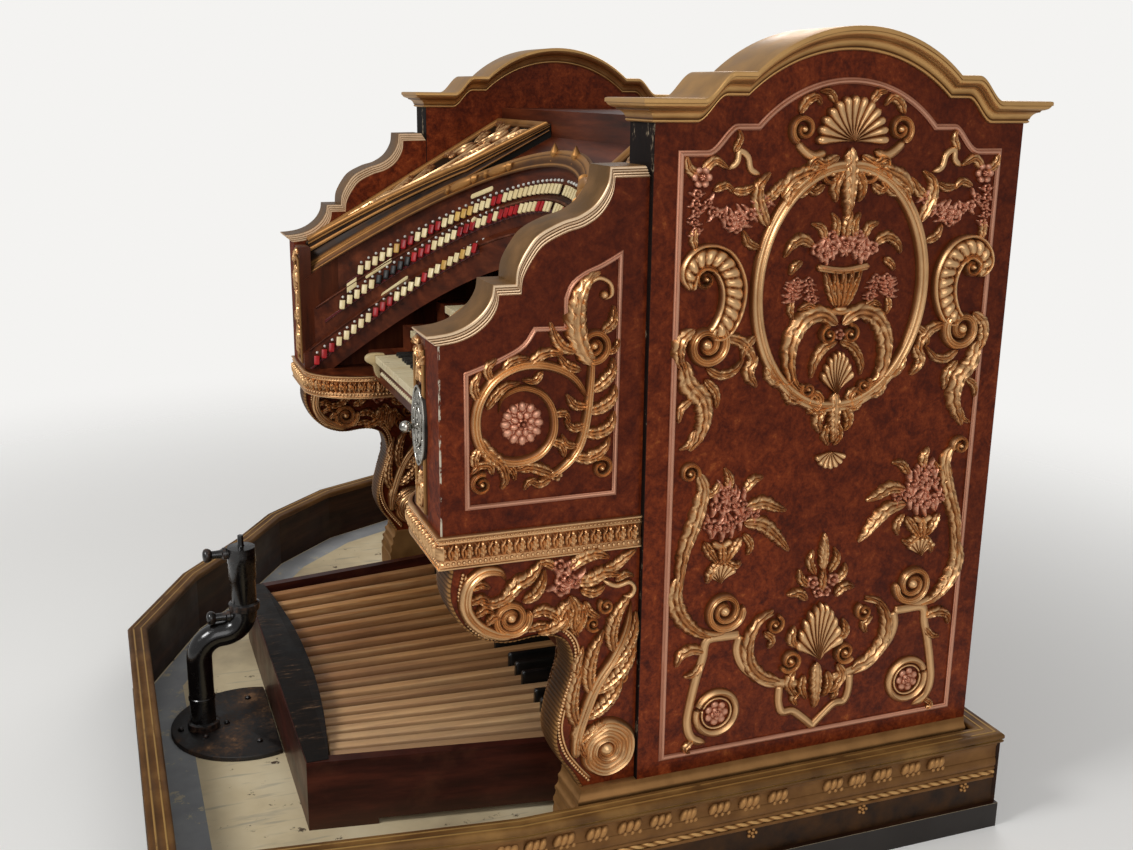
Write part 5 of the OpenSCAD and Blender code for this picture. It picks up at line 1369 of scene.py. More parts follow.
roll_yz = leg_line[:, None] - leg_left[:, None] * (roll_out - 1.5)[..., None]
roll_crown = np.concatenate([np.broadcast_to(roll_x[None, :, None], roll_yz.shape[:2] + (1,)), roll_yz],
                            axis=-1)
roll_under = roll_crown[:, [-1, 0]].copy()
roll_under[..., 1:] = (leg_line + leg_left * 3)[:, None]
roll_rings = np.concatenate([roll_crown, roll_under], axis=1)
# Darker between the leaves as painted shade, and darker along the roll's middle than at its sides.
roll_wear_and_shade = np.concatenate([np.broadcast_to(0.05 + 0.75 * leaf_lap[:, None],
                                            (520, 9)) * np.array([1, 1, 0.6, 0.35, 0.3, 0.35, 0.6, 1,
                                                                  1]), np.zeros((520, 2))], axis=1)
for side, name in ((1, "right_leg"), (-1, "left_leg")):
    points, quads, wear_and_shade = skin(roll_rings, roll_wear_and_shade)
    inside = lambda p: np.column_stack([side * (leg_x[0] - p[:, 2]), p[:, 0], p[:, 1]])
    made = (points * [side, 1, 1], quads, wear_and_shade)
    piece(name + "_edge_roll", [made], olive_gold, "old_gold", sharp=70)
    piece(name + "_inner_carving", set_on(leg_gold, (inside, -side)), yellow_gold, "old_gold", sharp=60)
    piece(name + "_inner_roses", set_on(leg_rose, (inside, -side)), rose_gold, "rose_gold", sharp=60)


# Keyboards: keys with ivory-coloured tops and ebonised sharps. One key of each kind is a rounded
# section carried along its length, and copies of it are moved to their places.
def copies(part, places):
    """The same part at many places, as one part."""
    points, quads, wear_and_shade = part
    places = np.asarray(places, float)
    every = (points[None] + places[:, None]).reshape(-1, 3)
    moved = (quads[None] + len(points) * np.arange(len(places))[:, None, None]).reshape(-1, 4)
    return every, moved, np.tile(wear_and_shade, len(places))


def lath(width, length, height, round_, taper=0.0, nose=0.0, start=0.0):
    """A bar lying along depth: a rounded rectangle for each station, narrower at the top by the
    taper, with its front end drawn in over the nose."""
    w, r = width / 2, round_
    section = np.array([(-w, 0), (-w + taper / 2, height - r), (-w + taper / 2 + 0.3 * r, height - 0.3 * r),
                        (-w + taper / 2 + r, height),
                        (w - taper / 2 - r, height), (w - taper / 2 - 0.3 * r,
                                                      height - 0.3 * r), (w - taper / 2, height - r), (w, 0)])
    stations = [(start, nose * 0.55), (start + nose * 0.3, nose * 0.12), (start + nose, 0.0),
                (start + length - 0.6, 0.0), (start + length, 0.6)]
    rings = []
    for y, drop in stations:
        rings.append(np.column_stack([section[:, 0], np.full(8, y),
                                      np.minimum(section[:, 1], height - drop)]))
    shade = np.array([0, 0.8, 1, 1, 1, 1, 0.8, 0])
    return skin(np.array(rings), np.broadcast_to(shade, (len(stations), 8)))


key_low, key_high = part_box("lower_manual")
white_pitch = (key_high.x - key_low.x + 0.001) * 1000 / 36
ivory_front = [31, 133, 235]
ivory_top = [850, 916, 982]


def draw_ivory(tone, vein):
    """Polished keytops: warm cream with faint level veins 8 mm apart and yellowed patches."""
    def draw(tree):
        veins = grain(tree, 8, (1, 0.15, 1), detail=4)
        patch = grain(tree, 45, detail=3)
        colour = blend_colours(tree, shift(tree, veins, 0.4, 0.75, 0, 0.6), tone, vein)
        aged = blend_colours(tree, shift(tree, patch, 0.45, 0.75, 0, 0.35), colour, "#b99858")
        return add(tree, "ShaderNodeBsdfPrincipled", {
            "Base Color": aged, "Roughness": shift(tree, patch, 0.3, 0.7, 0.26, 0.4),
            "Specular IOR Level": 0.3, "Normal": dent(tree, veins, 0.04)}).outputs[0]
    return draw


def draw_ebony(tree):
    streak = grain(tree, 10, (1, 0.1, 1), detail=4)
    rub = grain(tree, 30, detail=4)
    tone = ramp(tree, streak, [(0.35, "#0a0908"), (0.6, "#16130f"), (0.8, "#241e18")])
    return add(tree, "ShaderNodeBsdfPrincipled", {
        "Base Color": tone, "Roughness": shift(tree, rub, 0.3, 0.7, 0.25,
                                               0.45), "Normal": dent(tree, streak, 0.1)}).outputs[0]


ivory = coat("polished_keytop_ivory", draw_ivory("#ded0ac", "#c9b88e"))
ebonised = coat("ebonised_maple", draw_ebony)
for i, name in enumerate(("lower_manual", "middle_manual", "upper_manual")):
    shown = 150 if i == 2 else 101
    middles = (np.arange(36) + 0.5) * white_pitch - 18 * white_pitch
    white = lath(white_pitch - 0.9, shown, 20, 1.1, 0, 1.6)
    whites = copies(white, np.column_stack([middles, np.full(36, ivory_front[i]),
                                            np.full(36, ivory_top[i] - 20)]))
    slots = np.array([o * 7 + s for o in range(5) for s in (1, 2, 4, 5, 6)])
    black = lath(11.5, shown - 55, 11, 1.8, 3.2, 7)
    blacks = copies(black, np.column_stack([slots * white_pitch - 18 * white_pitch,
                                            np.full(25, ivory_front[i] + 55), np.full(25,
                                                                                      float(ivory_top[i]))]))
    piece(name + "_whites", [whites], ivory, "ivory_keys", name)
    piece(name + "_sharps", [blacks], ebonised, "ebony", name)


# Key slip and brackets: pale scroll-shaped blocks at the ends of the lowest keyboard, and round
# ivory pistons in the slip under it. The block's side outline is carried across its thickness.
bracket_line = spine([(58, 853), (36, 855), (16, 853), (5, 845), (6, 833), (18, 826), (27, 816), (31, 800),
                      (38, 786), (56, 780)], 40)
bracket_line = np.concatenate([bracket_line, [(60, 782), (60, 851)]])
inset_x = np.array([0, 1.2, 3, 19, 20.8, 22])
inset_d = np.array([2.6, 0.8, 0, 0, 0.8, 2.6])


def slab(outline, xs, insets):
    """A flat shape carried across x, drawn in towards its middle at its rounded edges."""
    centre = outline.mean(axis=0)
    away = outline - centre
    away /= np.linalg.norm(away, axis=1)[:, None]
    rings = [np.column_stack([np.full(len(outline), x), outline - away * d]) for x, d in zip(xs, insets)]
    return skin(np.array(rings), 1.0)


brackets = []
for side in (1, -1):
    points, quads, wear_and_shade = slab(bracket_line, inset_x + 424.5, inset_d)
    brackets.append((points * [side, 1, 1], quads, wear_and_shade))
bone = coat("pale_bracket_ivory", draw_ivory("#cdb88c", "#b89c6c"))
piece("keyboard_brackets", brackets, bone, "ivory_keys", sharp=50)
piston_x = np.arange(-390, 391, 20.0)
slip = front(43)
piece("slip_pistons", set_on([domes(np.column_stack([piston_x, np.full(len(piston_x), 803.0)]), 13, 13, 6,
                                    sides=12)], slip), ivory, "ivory_keys", sharp=50)


# Stop rail: dark terraces round the keyboards with a bead along each step, red felt under the
# tablets and a small white head over each. The rail's own curve and slopes carry all of them.
bow_r, bow_y, bow_end, rail_front_z = 750.0, -310.0, -16.06, 1100.0


def terrace(i):
    """Maps (length along the curve, height over the terrace's top line, out towards the keys) to
    the rail: the angle is the length over the radius, and the height follows the terrace's slope."""
    r = bow_r - 26 * i
    drop, slope = (0, 100, 196)[i], (0.66, 0.72, 0.8)[i]

    def place(points):
        angle = points[:, 0] / r
        base = rail_front_z - drop + slope * (bow_y + r * np.cos(angle) - bow_end)
        return np.column_stack([(r - points[:, 2]) * np.sin(angle),
                                bow_y + (r - points[:, 2]) * np.cos(angle), base + points[:, 1]])
    return place, 1


def rail_face(angle, z):
    """Radius of the rail's face at a height: the lowest terrace that still reaches it."""
    y1 = bow_y + (bow_r - 26) * np.cos(angle) - bow_end
    y2 = bow_y + (bow_r - 52) * np.cos(angle) - bow_end
    return np.where(z < rail_front_z - 196 + 0.8 * y2, bow_r - 52,
                    np.where(z < rail_front_z - 100 + 0.72 * y1, bow_r - 26, bow_r))


def curved_bar(p0, p1, profile, count=120, base=2.0):
    """The level moulding with enough stations to follow the rail's curve."""
    profile = np.asarray(profile, float)
    loop = np.concatenate([profile, [(profile[-1, 0], -base), (profile[0, 0], -base)]])
    along = np.linspace(p0, p1, count)
    rings = np.stack([np.broadcast_to(along[:, None], (count, len(loop))),
                      np.broadcast_to(loop[:, 0], (count, len(loop))),
                      np.broadcast_to(loop[:, 1], (count, len(loop)))], axis=-1)
    tone = np.clip(0.35 + loop[:, 1] / max(loop[:, 1].max(), 1) * 0.65, 0, 1)
    return skin(rings, np.broadcast_to(tone, rings.shape[:2]))


def reach_of(i, x=688):
    """Length along terrace i from its crown to the jamb, or to the front of the arms."""
    r = bow_r - 26 * i
    return r * min(math.asin(x / r), math.acos(198 / r))


step_bead = [(-5, 0), (-4.4, 2.2), (-2, 3.4), (0.2, 3.0), (1.6, 1.4), (1.6, 0)]
step_edges = []
for i in (0, 1, 2):
    step_edges += set_on([curved_bar(-reach_of(i), reach_of(i), step_bead)], terrace(i))
piece("terrace_beads", step_edges, coat("rubbed_bead_mahogany",
                                        draw_mahogany("#2c130a", "#4e2415", "#7a4630", (1, 1, 1),
                                                      0.22)), "dark_mahogany", sharp=50)
rows = ((0, 72, 0.70, "iiiiiarriirriiaaaiiirriiiiiiiiiiiiii", 0),
        (1, 132, 0.78, "iiiiibbbbbrrriiiirrriirirrrriiiirriir", 0),
        (2, 222, 0.90, "rrriiiiirrriiiiriiaiiairi", 322))
tab_kinds = {"i": [], "r": [], "a": [], "b": []}
heads, felts = [], []
def plate(outline, height, edge=0.8, base=1.0):
    """A flat plate: the outline at its foot, again under its soft edge, then drawn in at its top."""
    outline = np.asarray(outline, float)
    centre = outline.mean(axis=0)
    away = outline - centre
    away /= np.maximum(np.linalg.norm(away, axis=1), 1e-6)[:, None]
    levels = ((0, -base), (0, height - edge), (edge * 0.4, height - edge * 0.3), (edge * 1.2, height))
    rings = [np.column_stack([outline - away * d, np.full(len(outline), h)]) for d, h in levels]
    return skin(np.array(rings), np.array([0.2, 0.5, 1, 1])[:, None] * np.ones(len(outline)))


tab_turn = np.radians(np.linspace(0, 90, 5))
tab_corner = np.column_stack([4.2 + 3.8 * np.cos(tab_turn), -23 - 4 * np.sin(tab_turn)])
tab_outline = np.concatenate([[(-8, 0), (8, 0)][::-1], (tab_corner * [-1, 1]), tab_corner[::-1]])
tab_plate, tab_quads, tab_worn = plate(tab_outline, 4.6, 1.3, 0)
lean_tab = math.radians(22)
tab_points = np.column_stack([tab_plate[:, 0], tab_plate[:,
                                                         1] * math.sin(lean_tab) - tab_plate[:,
                                                                                             2] * math.cos(lean_tab) - 3,
                              tab_plate[:, 1] * math.cos(lean_tab) + tab_plate[:, 2] * math.sin(lean_tab)])
for i, drop, slope, colours, gap in rows:
    r = bow_r - 26 * i
    half_count = math.floor(math.asin((690 - 17) / r) / (23 / r) - 1)
    for k in range(-half_count, half_count + 1):
        angle = k * 23 / r
        if abs(r * math.sin(angle)) <= gap:
            continue
        step_from_end = half_count - abs(k)
        kind = colours[min(step_from_end, len(colours) - 1)]
        if k > 0 and step_from_end % 5 == 3:
            kind = "i" if kind == "r" else kind
        z = rail_front_z - drop + slope * (bow_y + r * math.cos(angle) - bow_end)
        spot = np.array([(r - 1) * math.sin(angle), bow_y + (r - 1) * math.cos(angle), z])
        turned = np.column_stack([tab_points[:, 0] * math.cos(angle) + tab_points[:, 1] * math.sin(angle),
                                  -tab_points[:,
                                              0] * math.sin(angle) + tab_points[:,
                                                                                1] * math.cos(angle),
                                                                                tab_points[:, 2]])
        tab_kinds[kind].append((turned + spot, tab_quads[:, ::-1], tab_worn))
        head = domes([(0, 0)], 8.6, 8.6, 5.5, sides=8)
        facing = (head[0][:, 2:3] - 1) * [math.sin(angle), math.cos(angle), 0] * -1
        flat_ = head[0][:, :1] * [math.cos(angle), -math.sin(angle), 0] + head[0][:, 1:2] * [0, 0, 1]
        out_ = float(rail_face(angle, z + 9.5)) - r
        heads.append((facing + flat_ + spot + [out_ * math.sin(angle), out_ * math.cos(angle), 9.5],
                      head[1], head[2]))
tab_ivory = coat("stop_tablet_ivory", draw_ivory("#e6d3a2", "#d8bf85"))


def draw_enamel(low, high):
    """Moulded casein tablets: a slight cloud of tone under a gloss."""
    def draw(tree):
        cloud = grain(tree, 20, detail=3)
        return add(tree, "ShaderNodeBsdfPrincipled", {
            "Base Color": ramp(tree, cloud, [(0.35, low),
                                             (0.65, high)]), "Roughness": shift(tree, cloud, 0.3, 0.7, 0.28,
                                                                                0.4),
            "Specular IOR Level": 0.2, "Normal": dent(tree, cloud, 0.1)}).outputs[0]
    return draw


tablet_rows = ("stop_tabs_upper", "stop_tabs_middle", "stop_tabs_lower")
piece("ivory_tablets", tab_kinds["i"], tab_ivory, "tab_ivory", *tablet_rows)
piece("red_tablets", tab_kinds["r"], coat("cherry_red_casein", draw_enamel("#7c0f12", "#b01a1c")),
      "tab_red", *tablet_rows)
piece("amber_tablets", tab_kinds["a"], coat("amber_casein", draw_enamel("#b98c42", "#d9b263")), "tab_red",
      *tablet_rows)
piece("black_tablets", tab_kinds["b"], coat("black_casein", draw_enamel("#0d0c0b", "#1c1917")), "ebony",
      *tablet_rows)
piece("tablet_heads", heads, coat("white_enamel_heads", draw_enamel("#c9c6bd", "#e6e3da")), "tab_ivory",
      sharp=60)
felt_line = [(-4, 0), (-3.5, 3), (0, 4), (3.5, 3), (4, 0)]


def row_line(i, drop, slope):
    """The map of a tablet row, whose own slope differs a little from its terrace's; each part of it
    stands on whichever terrace's face is there at its middle."""
    r = bow_r - 26 * i

    def place(points):
        angle = points[:, 0] / r
        base = rail_front_z - drop + slope * (bow_y + r * np.cos(angle) - bow_end)
        wall = rail_face(angle.mean(), (base + points[:, 1]).mean()) if np.ptp(points[:, 0]) < 120 else r
        return np.column_stack([(wall - points[:, 2]) * np.sin(angle),
                                bow_y + (wall - points[:, 2]) * np.cos(angle), base + points[:, 1]])
    return place, 1


for i, drop, slope, colours, gap in rows:
    reach = reach_of(i, 680)
    wall = row_line(i, drop + 24, slope)
    if gap:
        low_reach = (bow_r - 26 * i) * math.asin(gap / (bow_r - 26 * i))
        felts += set_on([curved_bar(-reach, -low_reach, felt_line, 50),
                         curved_bar(low_reach, reach, felt_line, 50)], wall)
    else:
        felts += set_on([curved_bar(-reach, reach, felt_line, 120)], wall)


def draw_felt(tree):
    fibre = grain(tree, 2.5, detail=3, rough=0.7)
    return add(tree, "ShaderNodeBsdfPrincipled", {
        "Base Color": ramp(tree, fibre, [(0.3, "#3c0a0a"), (0.7, "#6e1614")]), "Roughness": 0.95,
        "Sheen Weight": 0.3, "Normal": dent(tree, fibre, 0.3)}).outputs[0]


piece("tablet_felt", felts, coat("red_wool_felt", draw_felt), "tab_red", sharp=60)


# Label strips: blank ivory strips with round ends let into the faces between the tablet rows, and on each side a
# square plate and a round button in the same ivory. Each is an outline raised by its thickness with a soft edge.
def stadium(centre, length, width, lean=0.0):
    """Two half circles joined by straight sides, leaning by so many degrees."""
    turn_ = np.linspace(-90, 90, 9)
    ends = [(length / 2 - width / 2 + width / 2 * math.cos(math.radians(a)),
             width / 2 * math.sin(math.radians(a))) for a in turn_]
    shape = np.array(ends + [(-x, -y) for x, y in ends])
    c, s = math.cos(math.radians(lean)), math.sin(math.radians(lean))
    return shape @ np.array([(c, s), (-s, c)]) + centre


labels = []
for i, drop, slope, spots in ((0, 72, 0.70, (-400, 400)), (1, 132, 0.78, (-529, 529, -716, 716)),
                              (2, 222, 0.90, (-644, 644))):
    for reach in spots:
        up_ = 21 if abs(reach) == 716 else 27
        labels += set_on([plate(stadium((reach, up_), 84, 13), 2.6)], row_line(i, drop, slope))
for side in (1, -1):
    square = np.array([(-15, -15), (15, -15), (15, 15), (-15, 15)], float) * [1, 0.9] + [side * 800, 26]
    labels += set_on([plate(square, 3.0)], row_line(1, 132, 0.78))
    labels += set_on([domes([(side * 405, -46)], 19, 19, 13, sides=14)], row_line(0, 72, 0.70))
piece("label_strips", labels, tab_ivory, "tab_ivory", sharp=50)


# Pistons on the rails between the keyboards: turned ivory buttons in four groups of five, each a
# half egg seated on the button of the CAD rail.
rail_pistons = []
for y, z in ((133 + 8, 893.5), (235 + 8, 959.5)):
    spots = [(((g + 0.5) / 4 - 0.5) * 846 + (k - 2) * 24, z) for g in range(4) for k in range(5)]
    rail_pistons += set_on([domes(spots, 14, 14, 4.4, sides=14)], front(y - 6))
piece("rail_pistons", rail_pistons, ivory, "ivory_keys", sharp=50)


# Moulding along the stop rail's top: a gilt cove between two small steps, with turned bulbs on
# it at both sides. Its section (out from the curve's middle, up) is carried round the rail.
def rail_at(across, reach):
    """Points on the rail's top: the angle comes from the reach along the curve, the radius grows
    outwards with the across value, and the height follows the rail's slope."""
    angle = reach / bow_r
    y = bow_y + (bow_r + across) * np.cos(angle)
    return (bow_r + across) * np.sin(angle), y, rail_front_z + 0.66 * (y - bow_end)


cove = np.array([(-17, 0), (-17, 5), (-16, 6.4), (-13, 6.8), (-12.6, 8), (-11.5, 12.5), (-8.5, 17),
                 (-4.5, 20), (-4, 21.6), (-1, 23),
                 (1, 25.4), (4, 26), (7, 25.4), (9, 23), (11, 21), (13, 20), (17, 19), (17, 0)], float)
moulding_reach = np.linspace(-1, 1, 170) * bow_r * math.acos(205 / bow_r)
cove_x, cove_y, cove_z = rail_at(cove[None, :, 0], moulding_reach[:, None])
cove_rings = np.stack([cove_x, cove_y, cove_z + cove[None, :, 1]], axis=-1)
# The cove's values are low in its hollows and steps: painted shade there, with the glaze of the leaf.
cove_tone = np.broadcast_to(np.array([0.2, 0.5, 1, 0.5, 0.25, 0.3, 0.45, 0.8, 0.4, 0.7, 1, 1, 1, 0.7, 0.5,
                                      0.5, 0.5, 0.1]), cove_rings.shape[:2])
moulded = [skin(cove_rings, cove_tone)]


def turned(line, sides=20):
    """A turned part: its (radius, height) line is carried round its axis as rings of points."""
    line = np.asarray(line, float)
    turn_ = np.linspace(0, 2 * np.pi, sides, endpoint=False)
    rings = np.stack([line[:, :1] * np.cos(turn_), line[:, :1] * np.sin(turn_),
                      np.broadcast_to(line[:, 1:], (len(line), sides))], axis=-1)
    # Thin necks get low values and fat bulbs high ones; on gilt and plate this paints shade into the necks.
    tone = 0.25 + 0.75 * line[:, 0] / line[:, 0].max()
    return skin(rings, np.broadcast_to(tone[:, None], rings.shape[:2]))


bulb_line = [(1.5, -62), (9, -60), (13, -52), (15, -46), (10, -43), (7, -41), (10, -38), (12, -34),
             (14.5, -22), (15.5, -6), (15, 12),
             (12, 28), (8, 36), (7, 39), (11, 42), (14, 46), (11, 52), (7, 60), (1.5, 68)]
for side in (1, -1):
    for reach in (330, 470):
        points, quads, tone = turned(bulb_line, 16)
        angle = side * (reach + points[:, 2]) / bow_r
        y = bow_y + (bow_r - 6 + points[:, 0]) * np.cos(angle)
        rise = rail_front_z + 0.66 * (bow_y + (bow_r - 6) * np.cos(angle) - bow_end)
        moulded.append((np.column_stack([(bow_r - 6 + points[:, 0]) * np.sin(angle), y,
                                         rise + 15 + points[:, 1]]),
                        quads, tone))
finial_line = [(3, 0), (12, 1), (12.5, 5), (9.5, 7), (7, 10), (8, 13), (11.5, 18), (13, 24), (12.4, 27),
               (9.6, 32), (6.2, 39), (3.2, 45), (0.6, 49)]
finial_y = bow_y + math.sqrt(bow_r ** 2 - 75 ** 2)
for side in (1, -1):
    points, quads, tone = turned(finial_line)
    moulded.append((points + [side * 75, finial_y, rail_front_z + 0.66 * (finial_y - bow_end)], quads, tone))
bend_angle = np.radians(np.linspace(-73.5, -36, 40))
cove_plan = np.concatenate([np.column_stack([767 * np.sin(bend_angle), bow_y + 767 * np.cos(bend_angle)]),
                            [(-425, 356), (-400, 399), (-366, 457), (-332, 516)]])
way = np.gradient(cove_plan, axis=0)
way /= np.linalg.norm(way, axis=1)[:, None]
cove_in = np.column_stack([way[:, 1], -way[:, 0]])
cove_share = np.array([(15, 0.0), (16, 0.07), (12.5, 0.12), (12, 0.2), (7.5, 0.36), (3.2, 0.5), (2.6, 0.56),
                       (6.4, 0.58), (7.4, 0.66), (5.4, 0.74),
                       (2.6, 0.78), (2.2, 0.9), (5.0, 0.93), (5.4, 1.0), (-2.5, 1.0), (-2.5, 0.0)])
spot = cove_plan[:, None] + cove_in[:, None] * cove_share[None, :, :1]
foot = rail_front_z + 0.66 * (cove_plan[:, None, 1] - bow_end) + 18
head_z = 1134.5 + 0.577 * (cove_plan[:, None, 1] + 95)
cove_rings = np.concatenate([spot, (foot + (head_z - foot) * cove_share[None, :, 1])[..., None]], axis=-1)
# Low values in the hollows of this cove too: painted shade there, with the glaze of the leaf.
points, quads, tone = skin(cove_rings, np.broadcast_to(np.array([0.6, 1, 0.5, 0, 0, 0.05, 0, 0.5, 0.9, 0.5,
                                                                 0, 0.1, 1, 1, 0, 0]), cove_rings.shape[:2]))
for side in (1, -1):
    moulded.append((points * [side, 1, 1], quads, tone))
brown_gold = coat("darkened_gold_leaf", draw_gold("#150b05", "#5c3a1e", "#b07e48", 0.7, 0.38))
piece("rail_top_moulding", moulded, brown_gold, "old_gold", "rail_moulding", sharp=45)


# Spandrels: sloping boards glazed dark olive, edged with a thick rounded gilt border and filled
# with carved scrolls. Their flat plan is tilted so that depth climbs at the board's own slope.
def tilted(points):
    """Plan points (x, depth) with a rise: the rise stands square to the board's slope of 0.577."""
    lean_ = math.atan(0.577)
    return np.column_stack([points[:, 0], points[:, 1] - points[:, 2] * math.sin(lean_),
                            1134.5 + 0.577 * (points[:, 1] + 95) + points[:, 2] * math.cos(lean_)])


arc_y = np.linspace(-90, 305, 14)
inner_edge = np.column_stack([np.sqrt(771 ** 2 - (arc_y - bow_y) ** 2), arc_y])
board_plan = np.concatenate([[(765, -90)], inner_edge[:1], inner_edge[1:], [(338, 514)], [(765, 514)]])
if ((np.roll(board_plan, -1, 0) - board_plan)[:, 0] * (np.roll(board_plan, -1, 0) + board_plan)[:,
                                                                                                1]).sum() > 0:
    board_plan = board_plan[::-1]
round_border = [(0, 0), (0, 5), (1.6, 8.6), (5, 11.4), (9, 12.4), (13, 11.4), (16.4, 8.4), (17.4, 6),
                (19, 5.4), (21, 6.2), (23, 5.4), (24, 2.5), (24, 0)]
spandrel_curls = carve("""
bar 4/7/8/9/10/9/6 10 60 9 2 742,-20 722,60 690,130 640,190 600,260 590,330 618,390 664,400
bar 4/7/8/8/6 9 50 9 2 640,190 596,250 540,300 494,372 480,440 508,482 548,470
leaf 15 9 4 722,50 704,100 716,150
leaf 14 9 4 705,100 664,128 640,120
leaf 18 9 690,150 716,206 738,220
leaf 19 9 650,200 690,260 734,276
leaf 17 9 604,240 560,262 520,300
leaf 18 9 600,330 556,350 540,400
leaf 18 9 618,392 590,440 606,484
leaf 18 9 664,400 700,440 736,436
leaf 15 9 4 670,330 706,342 738,326
leaf 17 9 494,400 452,430 430,474
leaf 17 9 640,460 680,490 734,488
volute 36 -90 1.4 1 10 664,366
volute 34 -90 1.4 1 10 546,436""")
curl_rose = carve("""
blossom 13 8 6 664,366
blossom 12 8 6 546,436
blossom 11 7 706,176""")
olive_glaze = coat("dark_olive_glazed_wood", draw_gold("#120d07", "#2c2110", "#5b4726", 0.25, 0.4))
for side, name in ((1, "right_spandrel"), (-1, "left_spandrel")):
    wall = (lambda p, s=side: tilted(p) * [s, 1, 1], side)
    parts = set_on([around(board_plan, round_border)], wall)
    piece(name + "_border", parts, brown_gold, "old_gold", sharp=50)
    piece(name + "_scrolls", set_on(spandrel_curls + curl_rose, wall), yellow_gold, "old_gold", sharp=60)
dress(olive_glaze, "right_spandrel", "left_spandrel")


# Blocks at the heads of the arms: small dark mahogany blocks that close the ends of the gilt
# mouldings, each with a carved curl glued on its front.
head_parts, head_gilding = [], []
head_plan = np.array([(695, -127), (772, -127), (772, -94), (695, -94)], float)
head_rings = np.stack([np.column_stack([mitred(head_plan, d), np.full(4, z)]) for d,
                       z in ((0, 1024), (0, 1124), (1, 1126.5), (3.5, 1128))])
head_curl = carve("""
volute 15 200 1.6 1 9 744,1102
leaf 9 8 3 734,1112 716,1118 702,1108
leaf 6 7 2 752,1090 762,1082 768,1096""")
for side in (1, -1):
    points, quads, tone = skin(head_rings, 1.0)
    head_parts.append((points * [side, 1, 1], quads, tone))
    head_gilding += set_on(head_curl, front(-128, side))
piece("arm_head_blocks", head_parts, upright_mahogany, "dark_mahogany")
piece("arm_head_curls", head_gilding, yellow_gold, "old_gold", sharp=60)


# Fronts of the arms: a beaded olive-gold frame, and on the right an oval plate pierced in a
# pattern of petals, with a plated ball knob; on the left a hanging drop of gilt leaves.
jamb_x = (696, 768)
arm_face = 128.0
panel_frame = np.array([(jamb_x[0], 782), (jamb_x[1], 782), (jamb_x[1], 1108), (jamb_x[0], 1092)], float)
frame_bead = [(0, 0), (0, 2), (1.5, 3), (2.6, 5), (5, 6), (7.4, 5), (8.4, 3), (10, 2), (10, 0)]
for side, name in ((1, "right_arm_front"), (-1, "left_arm_front")):
    wall = front(-arm_face, side)
    piece(name + "_frame", set_on([around(panel_frame, frame_bead)], wall), olive_gold, "olive_gold",
          sharp=50)
oval_turn = np.linspace(0, 2 * np.pi, 64, endpoint=False)
plate_y, plate_z, plate_a, plate_b = 738, 955, 44, 80


def on_oval(share, turns, skew=0.0):
    """Points at a share of the oval's half width and half height, at angles in degrees."""
    turns = np.radians(np.asarray(turns, float) + skew)
    return np.column_stack([plate_y + share * plate_a * np.cos(turns),
                            plate_z + share * plate_b * np.sin(turns)])


rim = [(0, 0), (0, 3.0), (1, 4.4), (2.4, 5), (4, 4.4), (5, 3), (5, 0)]
oval_parts = [around(on_oval(1.0, np.degrees(oval_turn)), rim, 0.0),
              around(on_oval(0.52, np.degrees(oval_turn)), rim, 0.0)]
for a in np.arange(0, 360, 20.0):
    oval_parts.append(bar([tuple(on_oval(s, [a], k)[0]) for s,
                           k in ((0.54, 0), (0.68, 9), (0.8, 4), (0.92, -4))], [2.0, 3.0, 2.0], 3.6, 12, 5))
    oval_parts.append(bar([tuple(on_oval(s, [a], k)[0]) for s, k in ((0.6, 14), (0.76, 8), (0.93, 14))],
                          [1.4, 2.2, 1.4], 3.0, 10, 5))
for a in np.arange(0, 360, 30.0):
    oval_parts.append(bar([tuple(on_oval(s, [a], k)[0]) for s, k in ((0.14, 0), (0.3, 12), (0.44, 0))],
                          [1.4, 2.4, 1.6], 3.6, 10, 5))
oval_parts.append(domes(on_oval(0.76, np.arange(10, 370, 20.0)), 4.4, 4.4, 3.4, sides=8))
knob_line = [(11, 0), (11, 2), (8.4, 3), (6.2, 5), (5.2, 8), (5, 16)] + [
    (11.6 * math.cos(math.radians(a)),
     27 + 11.6 * math.sin(math.radians(a))) for a in (-62, -50, -35, -20, -5, 10, 25, 40, 55, 70, 82, 89)]
points, quads, tone = turned(knob_line, 28)
oval_parts.append((points + [plate_y, plate_z, 0], quads, tone))


def draw_plate(tree):
    wear_and_shade_level = add(tree, "ShaderNodeAttribute", attribute_name="wear_and_shade").outputs["Fac"]
    haze = grain(tree, 14, detail=4)
    # Dark at the foot of the tracery and bright on its tops: painted shade and painted highlight, with tarnish in
    # the hollows.
    tone = ramp(tree, shift(tree, wear_and_shade_level, 0.0, 1.0), [(0.0, "#1d1a17"), (0.5, "#6f6b64"), (1.0, "#c4c0b6")])
    return add(tree, "ShaderNodeBsdfPrincipled", {
        "Base Color": tone, "Metallic": 1.0, "Roughness": shift(tree, haze, 0.3, 0.7, 0.14, 0.34),
        "Normal": dent(tree, haze, 0.1)}).outputs[0]


def draw_tarnish(tree):
    haze = grain(tree, 12, detail=4)
    return add(tree, "ShaderNodeBsdfPrincipled", {
        "Base Color": ramp(tree, haze, [(0.3, "#171513"), (0.7, "#3d3934")]), "Metallic": 0.8,
        "Roughness": shift(tree, haze, 0.3, 0.7, 0.35, 0.55), "Normal": dent(tree, haze, 0.2)}).outputs[0]


